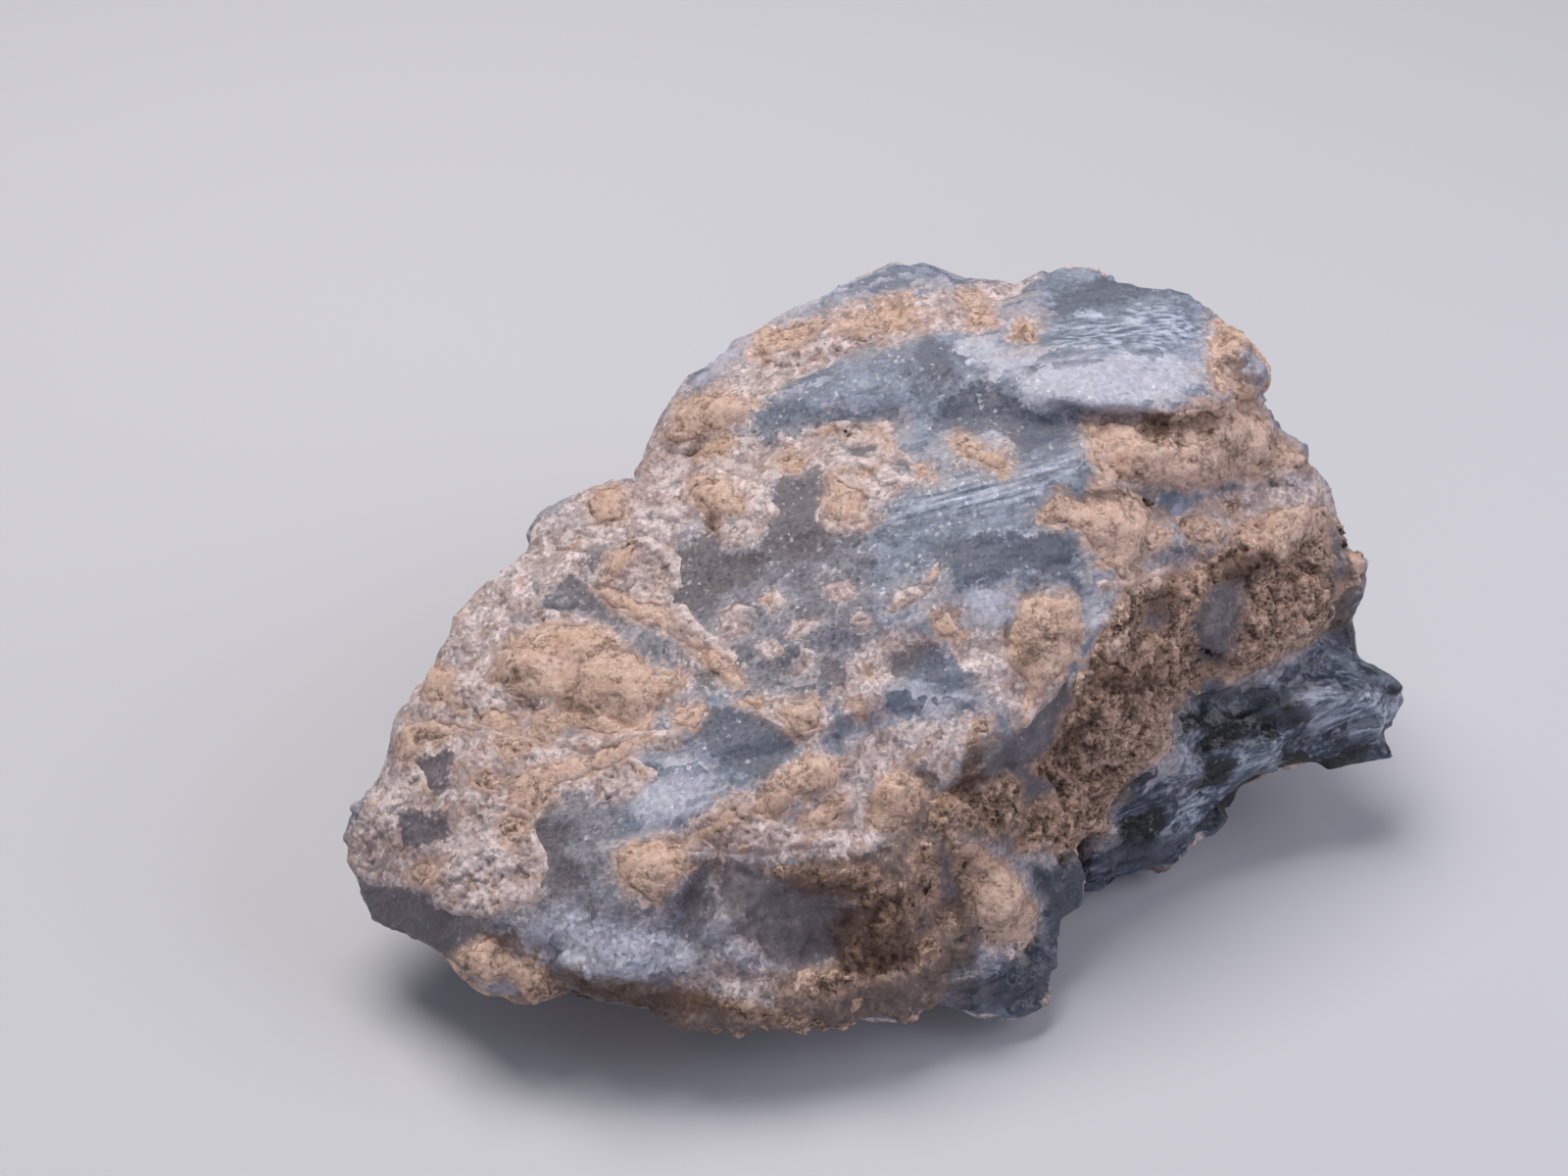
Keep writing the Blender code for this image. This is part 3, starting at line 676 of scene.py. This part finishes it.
def facets(points, size, tilt, step, seed, stretch=1.0):
    """How far each point stands out as part of a flat, tilted facet of about this size, and a number
    from -1 to 1 that the whole facet shares."""
    scaled = along_fibre(points, stretch) / size
    base = np.round(scaled).astype(np.int64)
    closest = np.full(len(points), 9.0)
    raised = np.zeros(len(points))
    shared = np.zeros(len(points))
    for corner in itertools.product((-1, 0), repeat=3):
        cell = base + corner
        centre = cell + 0.5 + 0.45 * np.stack([chance(cell, seed + axis) for axis in (1, 2, 3)], 1)
        offset = scaled - centre
        distance = np.sqrt((offset * offset).sum(1))
        slope = np.stack([chance(cell, seed + axis) for axis in (4, 5, 6)], 1) * tilt
        tone = chance(cell, seed + 7)
        own = (offset * slope).sum(1) * size + tone * step
        nearer = distance < closest
        closest[nearer] = distance[nearer]
        raised[nearer] = own[nearer]
        shared[nearer] = tone[nearer]
    return raised, shared


def layers_of_facets(points, layers, seed):
    """The relief of several layers of facets, each with its size, tilt and step."""
    return sum(facets(points, size, tilt, step, seed)[0] for size, tilt, step in layers)


# The step under the crown plate is smoothed away where it is drawn as worn.
unworn = points_of(stone)
worn = eased(zone(unworn, normals_of(stone), WORN, -9.0), -0.6, 0.9)[:, None]
soften(stone, WORN_SMOOTH)
place_points(stone, unworn + (points_of(stone) - unworn) * worn)
base_points, base_normals, base_quads = points_of(stone), normals_of(stone), quads_of(stone)
base = base_points, base_normals

# How far inside each finish a point lies. Clay and crust leave the dark windows free, and cream baryte
# also runs as a broken rim around the clay.
clay, nearest_lump = clay_zone(*base)
clay = np.minimum(clay, -0.1 - zone(*base, DARK, -4.0))
crusted = zone(*base, CRUST, -1.6)
earth = zone(*base, EARTH, -1.5)
rim = 0.35 + 0.8 * noise_at(base_points, 4.0, 23) - np.abs(clay + 0.2) - 2 * eased(earth, -0.5, 0.5)
dark = zone(*base, DARK, -1.2)
crusted = np.minimum(crusted, 0.2 - dark)
cream = np.maximum(zone(*base, FILM, -0.8), np.maximum(crusted, rim))
frost = zone(*base, FROST, -1.4)
lower_right = eased(base_points[:, 0], *LOWER_RIGHT_X) * eased(base_points[:, 2], *LOWER_RIGHT_Z)
deep = zone(*base, DEEP, -2.4 + 4.5 * lower_right)
silky = zone(*base, SILK, -1.0)
smoke = zone(*base, SMOKE, -1.0)
olive = zone(*base, OLIVE, -0.5)
rust = zone(*base, RUST, -3.0)

# How far each point moves out: broken facets off the open cleavage face, fine ridges along the fibre,
# lumps in the cream, and rubble in the earth. Under clay and crust the stone stays smoother.
level = eased(base_normals @ np.array(SHEET_NORMAL), 0.6, 0.85)
cover = eased(np.maximum(clay, crusted), -0.7, 0.2)
coarse, facet = facets(base_points, *COARSE_FACETS, 5, 2.2)
small, small_facet = facets(base_points, *SMALL_FACETS, 15, 2.0)
facet = 0.5 + 0.32 * facet + 0.18 * small_facet
streak = rough_noise(along_fibre(base_points, 9), 1.1, 81, 2)
mottle = rough_noise(base_points, 2.4, 85, 3, 0.7)
angular = np.maximum(0.55 - 0.4 * level, 0.9 * eased(deep, -0.5, 0.5))
angular *= 1 - 0.75 * eased(base_points[:, 0], *BLADES_X)
move = (coarse + small) * angular * (1 - 0.8 * cover) - 0.12 * cover
move += 0.16 * streak * eased(deep, -0.5, 1.0) + 0.05 * streak * (1 - cover)
move += mottle * (0.1 + 0.22 * eased(cream, -0.5, 0.5)) * (1 - cover) - 0.12 * eased(dark, 0, 0.8)
uncovered = 1 - eased(np.maximum(clay, crusted), -1.6, -0.7)
move += layers_of_facets(base_points, RUBBLE, 25) * eased(np.maximum(earth, rust), -0.3, 0.6) * uncovered
place_points(stone, base_points + base_normals * move[:, None])
soften(stone, 2)
store(stone, frost=frost, dark=dark, deep=deep, rust=rust, cream=cream, clay=clay, earth=earth,
      silky=silky, olive=olive, smoke=smoke, facet=facet, warm=np.maximum(np.maximum(cream, earth), olive))
thin_to(stone, STONE_TRIANGLES)

# Cleaved baryte: cloudy blue-grey and silky along the fibre, its pale silky lines partly painted sheen,
# with pale frosted sheets, glassy dark windows, a cream stain on its left and a blue-black lower mass
# whose near black is partly painted shade. Small flakes each catch the light.
# The real fibres and flakes are finer than the render shows, so they are drawn 0.3 to 0.6 mm across.
BODY_SLATE = "606777"
BODY_PALE = "81889b"
FROST_COLOUR = "aeafbd"
DARK_COLOUR = "525867"
OLIVE_COLOUR = "655f66"
DARK_WARM = "5a545b"
EARTH_COLOUR = "6a5850"
SILK_LIGHT = "b4bacb"
SILK_DARK = "4f596d"
SMOKE_COLOUR = "3d4350"
# The lower mass's near black is partly the crystal's dark blue and partly painted shade.
DEEP_COLOUR = "080c13"
DEEP_STREAK = "353e50"
RUST_COLOUR = "4b3227"
CREAM_WHITE = "bdaeae"
CREAM_PINK = "998786"
CREAM_GREY = "79747a"
CREAM_TAN = "a98977"
CREAM_PIT = "65534b"
CREAM_GRAIN = "cfc4c1"


def per(size):
    """A texture's scale for features of this size in millimetres."""
    return 1 / (size * MM)


def noise(add, place, size, detail, roughness=0.5, distortion=0.0, out=None):
    """Noise from 0 to 1 with features of this size in millimetres."""
    looks = {"Detail": detail, "Roughness": roughness, "Distortion": distortion}
    return add("TexNoise", {"Vector": place, "Scale": per(size), **looks}, out=out)


def flakes(add, place, size, out="Color"):
    """Flakes of this size in millimetres: a chance colour for each of them, or what out names."""
    return add("TexVoronoi", {"Vector": place, "Scale": per(size)}, out=out)


def field_of(add, name):
    """The values that the piece has stored under this name."""
    return add("Attribute", attribute_name=name, out="Fac")


def weighted(add, value, weight, rest):
    """The value times its weight, plus the rest."""
    return add("Math", {0: value, 1: weight, 2: rest}, operation="MULTIPLY_ADD")


def ramp(add, value, low, high, most=1.0, least=0.0, smooth=False):
    """A number that goes from least to most as the value goes from low to high, and stays there beyond."""
    ends = {"From Min": low, "From Max": high, "To Min": least, "To Max": most}
    kind = "SMOOTHSTEP" if smooth else "LINEAR"
    return add("MapRange", {"Value": value, **ends}, interpolation_type=kind)


def blend(add, share, under, over, **settings):
    """The colour under, with this share of the colour over it."""
    return add("Mix", {"Factor": share, "A": under, "B": over}, data_type="RGBA", **settings)


def cream_pattern(add, place):
    """Colour and height of sugary baryte: white to pink, with grey glassy spots, tan flecks and pits."""
    swirl = noise(add, place, 0.9, 4.0, out="Color")
    bent = add("VectorMath", {0: swirl, 1: (0.9 * MM,) * 3, 2: place}, operation="MULTIPLY_ADD")
    chips = flakes(add, bent, 1.1)
    wide = noise(add, place, 3.2, 7.0, 0.68)
    wide = add("Mix", {"Factor": 0.3, "A": wide, "B": chips})
    spots = noise(add, place, 2.0, 6.0, 0.6, 0.6)
    grit = noise(add, place, 0.5, 4.0, 0.7)
    pink = ramp(add, wide, 0.42, 0.58, smooth=True)
    colour = blend(add, pink, CREAM_WHITE, CREAM_PINK)
    for wave, start, end, finish_colour, most in (
            (spots, 0.43, 0.36, CREAM_GREY, 0.75), (spots, 0.57, 0.65, CREAM_TAN, 0.75),
            (grit, 0.58, 0.7, CREAM_GRAIN, 0.8), (grit, 0.44, 0.33, CREAM_PIT, 0.6)):
        share = ramp(add, wave, start, end, most, smooth=True)
        colour = blend(add, share, colour, finish_colour)
    return colour, grit


def grained(add, colour, place, size, share):
    """The colour with lighter and darker grains of this size over it."""
    grains = ramp(add, flakes(add, place, size), 0.0, 1.0, 0.9, 0.1)
    return blend(add, share, colour, grains, blend_type="OVERLAY")


def laid_over(add, colour, name, waver, reach, low, high, finish_colour, most, smooth=True):
    """The colour with a finish laid over it where the field of this name is high, its edge broken up by
    the waver, and the share that the finish takes."""
    field = weighted(add, waver, reach, field_of(add, name))
    share = ramp(add, field, low + reach / 2, high + reach / 2, most, smooth=smooth)
    return blend(add, share, colour, finish_colour), share


cleaved_baryte, add = new_finish("cleaved_baryte")
place = add("TexCoord", out="Object")
# The patterns that the finishes share. Those along the fibre are drawn out in its direction.
turn = FIBRE.to_track_quat("X", "Z").to_euler()
along, long, short = [
    add("Mapping", {"Vector": place, "Rotation": turn, "Scale": (stretch, 1, 1)}, vector_type="TEXTURE")
    for stretch in (7, 20, 2.5)]
fine = noise(add, place, 0.6, 5.0, 0.65)
cloud = noise(add, place, 5.0, 9.0, 0.66)
mottled = noise(add, place, 1.5, 7.0, 0.68, 0.4)
silk = noise(add, along, 0.55, 5.0, 0.65)
thread = noise(add, long, 0.4, 3.0, distortion=0.2)
wisps = noise(add, along, 2.2, 6.0, 0.6, 0.4)
swirl = noise(add, place, 0.9, 3.0, out="Color")
bent = add("VectorMath", {0: swirl, 1: (1.2 * MM,) * 3, 2: short}, operation="MULTIPLY_ADD")
chips = flakes(add, bent, 1.3)
flaky = add("Mix", {"Factor": 0.4, "A": wisps, "B": chips})
# The blue-grey body, and the colours of the finishes that lie on it.
tone = cloud
for wave, weight in ((silk, 0.25), (mottled, 0.8), (chips, 0.25)):
    tone = weighted(add, wave, weight, tone)
pale = ramp(add, tone, 1.0, 1.32, smooth=True)
colour = blend(add, pale, BODY_SLATE, BODY_PALE)
facet = field_of(add, "facet")
# The lower mass: slabs from near black to dark slate, the near black partly painted shade, with painted
# glint lines along the fibre.
slab = flakes(add, bent, 2.6)
slab = weighted(add, slab, 1.4, facet)
slab = ramp(add, slab, 1.15, 1.6)
deep_colour = blend(add, slab, DEEP_COLOUR, DEEP_STREAK)
glint = ramp(add, thread, 0.5, 0.64, 0.85)
glint = add("Math", {0: glint, 1: slab}, operation="MULTIPLY")
deep_colour = blend(add, glint, deep_colour, BODY_PALE)
# Dark and pale lines along the fibre; the pale ones are partly painted sheen.
lines = ramp(add, thread, 0.38, 0.62)
silk_colour = blend(add, lines, SILK_DARK, SILK_LIGHT)
cream_colour = cream_pattern(add, place)[0]
haze_colour = blend(add, mottled, BODY_SLATE, CREAM_WHITE)
# The earth colour is brown stain and painted shade, for the shaded flank, underside and fin.
earth_colour = blend(add, fine, CREAM_PIT, EARTH_COLOUR)
warm = field_of(add, "warm")
warm = ramp(add, warm, -1.0, 0.5, smooth=True)
window = blend(add, warm, DARK_COLOUR, DARK_WARM)
# The finishes, the lowest first. Each has the name of its field, the wave that breaks its edge up and
# how far, where the field lets it begin and be full, its colour, and the most that it covers.
taken = {}
for layer in (
        ("deep", cloud, 3.0, -0.2, 0.6, deep_colour, 1.0),
        ("smoke", flaky, 5.0, -0.5, 0.6, SMOKE_COLOUR, 0.8),
        ("olive", flaky, 5.0, -1.2, 0.6, OLIVE_COLOUR, 0.7),
        ("silky", flaky, 6.0, -0.8, 1.2, silk_colour, 0.75),
        ("frost", flaky, 6.0, -0.4, 0.9, FROST_COLOUR, 0.8),
        ("cream", flaky, 5.0, -1.4, 0.2, haze_colour, 0.75),
        # Earth: brown stain and painted shade, laid on the shaded flank, underside and fin.
        ("earth", mottled, 4.0, -0.9, 0.4, earth_colour, 0.92),
        ("cream", fine, 4.0, -0.2, 0.35, cream_colour, 0.9),
        ("dark", fine, 3.0, -0.15, 0.3, window, 0.92),
        ("clay", fine, 3.0, -0.9, 0.1, CREAM_TAN, 0.75),
        # Rust: limonite brown, partly painted shade at the feet, under the crown's lip and in the recess.
        ("rust", fine, 3.0, -0.3, 0.6, RUST_COLOUR, 0.85)):
    colour, taken[layer[0]] = laid_over(add, colour, *layer)
# Grains where it is sugary, pale specks, and small flakes that each tilt and shine in their own way.
wet, glassy = taken["deep"], taken["dark"]
sugary = weighted(add, warm, 0.3, 0.25)
cloudy = weighted(add, glassy, -0.65, 1.0)
sugary = add("Math", {0: sugary, 1: cloudy}, operation="MULTIPLY")
colour = grained(add, colour, place, 0.32, sugary)
speck = flakes(add, place, 1.3, out="Distance")
speck = ramp(add, speck, 0.13, 0.08, 0.25)
dull = add("Math", {0: 1.0, 1: wet}, operation="SUBTRACT")
speck = add("Math", {0: speck, 1: dull}, operation="MULTIPLY")
colour = blend(add, speck, colour, CREAM_WHITE)
flake = flakes(add, place, 0.28)
spark = add("SeparateColor", {"Color": flake}, out="Blue")
spark = ramp(add, spark, 0.92, 0.96)
rough = add("Mix", {"Factor": wet, "A": 0.6, "B": 0.32})
rough = add("Mix", {"Factor": spark, "A": rough, "B": 0.2})
flake = add("VectorMath", {0: flake, 1: (0.5, 0.5, 0.5)}, operation="SUBTRACT")
flake = add("VectorMath", {0: flake, "Scale": 0.4}, operation="SCALE")
normal = add("VectorMath", {0: add("NewGeometry", out="Normal"), 1: flake}, operation="ADD")
normal = add("VectorMath", {0: normal}, operation="NORMALIZE")
relief = weighted(add, mottled, 0.8, silk)
bump = add("Bump", {"Strength": 0.7, "Distance": 0.12 * MM, "Height": relief, "Normal": normal})
surface = add("BsdfPrincipled", {
    "Base Color": colour, "Roughness": rough, "Normal": bump, "IOR": 1.64, "Specular IOR Level": 0.35,
    "Subsurface Weight": 0.25, "Subsurface Radius": (1.0, 1.1, 1.3), "Subsurface Scale": 1.0 * MM,
})
add("OutputMaterial", {"Surface": surface})
finish_piece(stone, cleaved_baryte, "baryte", "baryte")

# Cream crust: fine sugary baryte crystals, white to pink, grown over the left of the stone and along
# its broken edges. It is a thin skin of small tilted facets, stained tan by the clay. The finest
# crystals are drawn as grains of 0.3 mm, which is as fine as the render shows.
CRUST_THICKNESS = 0.07
CRUST_DEPTH = 0.5
SUGAR = ((1.6, 0.2, 0.06), (0.5, 0.35, 0.05))
CRUST_TRIANGLES = 190000


def closed_film(name, points, normals, quads, kept, heights, depth):
    """A closed skin over the quads whose corners are all kept, and the points that it uses. Its outer
    face is at the heights, and its inner face lies this deep in the stone."""
    faces = quads[kept[quads].all(1)]
    used, renumbered = np.unique(faces, return_inverse=True)
    faces = renumbered.reshape(-1, 4)
    outer = points[used] + normals[used] * heights[used][:, None]
    inner = points[used] - normals[used] * depth
    edges = np.concatenate([faces[:, [i, (i + 1) % 4]] for i in range(4)])
    codes = edges[:, 0] * len(used) + edges[:, 1]
    opposite = edges[:, 1] * len(used) + edges[:, 0]
    rim = edges[~np.isin(codes, opposite)]
    sides = np.stack([rim[:, 1], rim[:, 0], rim[:, 0] + len(used), rim[:, 1] + len(used)], 1)
    shell = np.concatenate([faces, faces[:, ::-1] + len(used), sides])
    return piece_of(name, np.concatenate([outer, inner]), shell), used


# The sheet under the crust has quads half as wide as the stone's, so that it holds the small facets.
used, faces = np.unique(base_quads[(crusted > -0.7)[base_quads].all(1)], return_inverse=True)
sheet = piece_of("crust_sheet", base_points[used], faces.reshape(-1, 4))
store(sheet, crusted=crusted[used], clay=clay[used])
apply_modifier(sheet, "SUBSURF", levels=1, render_levels=1)
places, facing, quads = points_of(sheet), normals_of(sheet), quads_of(sheet)
crusted_there, clay_there = stored(sheet, "crusted"), stored(sheet, "clay")
bpy.data.objects.remove(sheet)
sugar = layers_of_facets(places, SUGAR, 9)
sugar += 0.14 * rough_noise(places, 2.2, 91, 4, 0.7)
heights = np.clip(crusted_there * 0.5, -0.35, CRUST_THICKNESS) + sugar * eased(crusted_there, -0.2, 0.5)
heights -= 0.5 * eased(clay_there, -0.1, 0.5)
crust, used = closed_film("cream_crust", places, facing, quads, crusted_there > -0.5, heights, CRUST_DEPTH)
# The facets' height is kept, so that the material paints their hollows darker as shade.
store(crust, grain=np.tile(eased(sugar, -0.22, 0.18)[used], 2), clay=np.tile(clay_there[used], 2))
thin_to(crust, CRUST_TRIANGLES)

sugary_crust, add = new_finish("sugary_crust")
place = add("TexCoord", out="Object")
colour, grit = cream_pattern(add, place)
colour = grained(add, colour, place, 0.32, 0.32)
# Low places between the sugar facets take the pit colour: painted shade in the hollows.
grain = field_of(add, "grain")
pit = ramp(add, grain, 0.3, 0.0, 0.5)
colour = blend(add, pit, colour, CREAM_PIT)
colour = laid_over(add, colour, "clay", grit, 3.0, -0.7, 0.2, CREAM_TAN, 0.8, smooth=False)[0]
bump = add("Bump", {"Strength": 0.8, "Distance": 0.12 * MM, "Height": grit})
surface = add("BsdfPrincipled", {
    "Base Color": colour, "Roughness": 0.6, "Normal": bump, "IOR": 1.64, "Specular IOR Level": 0.35,
    "Subsurface Weight": 0.2, "Subsurface Radius": (1.0, 1.0, 1.1), "Subsurface Scale": 0.6 * MM,
})
add("OutputMaterial", {"Surface": surface})
finish_piece(crust, sugary_crust, "baryte", "baryte")

# Earthy matrix: dry tan clay and limonite, packed in the hollows in crumbly lumps that thin out to a
# film over the stone around them. Each lump and the film nearest to it are one piece. Real clay grains
# are far finer, so the crumbs are drawn as fine as the render shows them, at 0.3 mm.
LUMP_SINK = 1.3
FILM_OVERLAP = 4
FILM_DEPTH = 0.6
CLAY_GRID = 0.22
CLAY_SOFTENING = 6
CLODS = ((1.6, 0.3, 0.12), (0.6, 0.35, 0.07))
CLAY_TRIANGLES = 330000
CLAY_COLOUR = "d8baab"
CLAY_PIT = "62493b"
CLAY_HOLLOW = "3b2a21"
CLAY_OCHRE = "b18a6f"

dry_clay, add = new_finish("dry_clay")
place = add("TexCoord", out="Object")
flat = add("Mapping", {"Vector": place, "Scale": (1.7, 1.7, 1)}, vector_type="TEXTURE")
grit = noise(add, place, 0.5, 6.0, 0.78)
cloud = noise(add, place, 3.0, 5.0, 0.6)
# Dry cracks lie along the layers of the clay, and are broken off here and there. They are painted darker,
# as shade in the cracks.
crease = noise(add, flat, 0.9, 6.0, 0.75)
crease = add("Math", {0: crease, 1: 0.5}, operation="SUBTRACT")
crease = add("Math", {0: crease}, operation="ABSOLUTE")
gaps = noise(add, place, 1.7, 2.0, 0.5)
width = ramp(add, gaps, 0.48, 0.64, 0.04, 0.0001)
crease = ramp(add, crease, 0.0, width, smooth=True)
grain = field_of(add, "grain")
# Where the clay is crumbly it is also painted darker, as shade on the flank, the underside and the fin:
# its grains turn to pit colour sooner and it gets near-black hollows, painted shade in the pits.
crumbly = field_of(add, "crumbly")
grain = weighted(add, crumbly, -0.28, grain)
# Low places of the relief and the cracks take the pit colour, painted shade in the hollows; the fine grit
# adds the clay's own uneven tone.
shade = weighted(add, grit, 2.2, grain)
shade = ramp(add, shade, 0.95, 1.65, smooth=True)
hollow = ramp(add, grit, 0.46, 0.38, 0.7)
hollow = add("Math", {0: hollow, 1: crumbly}, operation="MULTIPLY")
open_share = weighted(add, crease, 0.3, 0.7)
shade = add("Math", {0: shade, 1: open_share}, operation="MULTIPLY")
ochre = weighted(add, crumbly, 0.12, cloud)
ochre = ramp(add, ochre, 0.45, 0.72, 0.5)
colour = blend(add, ochre, CLAY_COLOUR, CLAY_OCHRE)
colour = blend(add, shade, CLAY_PIT, colour)
colour = blend(add, hollow, colour, CLAY_HOLLOW)
speckled = weighted(add, crumbly, 0.25, 0.3)
colour = grained(add, colour, place, 0.3, speckled)
cream_colour = cream_pattern(add, place)[0]
# Cream where the clay is bare, dark windows, and limonite brown that is partly painted shade.
for name, finish_colour, most in (
        ("pale", cream_colour, 0.95), ("dark", SMOKE_COLOUR, 0.9), ("rust", RUST_COLOUR, 0.7)):
    colour = laid_over(add, colour, name, grit, 2.0, -0.2, 0.5, finish_colour, most, smooth=False)[0]
relief = weighted(add, crease, 0.3, grit)
bump = add("Bump", {"Strength": 1.0, "Distance": 0.3 * MM, "Height": relief})
surface = add("BsdfPrincipled", {"Base Color": colour, "Roughness": 0.95, "Normal": bump})
add("OutputMaterial", {"Surface": surface})

# Each film is closed and joined with its lump, and then gets clods, chunks and grit all over.
clay_pieces = []
film_heights = np.clip(clay * 0.7, -0.35, 0.12) + 0.25 * eased(clay, 0.2, 2.2)
for index, (name, lump) in enumerate(zip(lump_names, lumps)):
    own = nearest_lump == index
    for _ in range(FILM_OVERLAP):
        touched = base_quads[own[base_quads].any(1)]
        own[touched] = True
    piece = closed_film(name.replace("matrix_", "clay_"), base_points, base_normals, base_quads,
                        own & (clay > -0.6), film_heights, FILM_DEPTH)[0]
    place_points(lump, points_of(lump) - outward[index] * LUMP_SINK)
    only(piece, lump)
    bpy.ops.object.join()
    regrid(piece, CLAY_GRID, CLAY_SOFTENING)
    clay_pieces.append(piece)
total = sum(2 * len(piece.data.polygons) for piece in clay_pieces)
for name, piece in zip(lump_names, clay_pieces):
    where, facing = points_of(piece), normals_of(piece)
    clods = rough_noise(where, 2.4, 131, 4, 0.7)
    grit = rough_noise(where, 0.7, 151, 2)
    # Crumbly follows the earth outlines: it roughens the relief there, and the material paints these
    # places darker as shade.
    crumbly = eased(zone(where, facing, EARTH, 0.0), -1.0, 1.0)
    chunks = layers_of_facets(where, CLODS, 33)
    move = (0.14 + 0.17 * crumbly) * clods + (0.35 + 0.95 * crumbly) * chunks + 0.06 * grit
    dark = zone(where, facing, DARK, -3.0)
    move -= 0.35 * eased(dark, -0.1, 0.6)
    place_points(piece, where + facing * move[:, None])
    bare = np.maximum(zone(where, facing, FILM, -3.0), zone(where, facing, CRUST, -3.0))
    outside = -zone(where, facing, CLAY, 2.0)
    # The relief height is kept, so that the material paints its low places darker as shade.
    store(piece, crumbly=crumbly, dark=dark,
          grain=np.clip(0.5 + 0.3 * clods + 0.3 * grit + 0.5 * chunks, 0, 1),
          rust=zone(where, facing, RUST, -3.0), pale=np.minimum(bare, outside))
    thin_to(piece, 2 * len(piece.data.polygons) * min(1, CLAY_TRIANGLES / total))
    finish_piece(piece, dry_clay, "earthy_matrix", name)
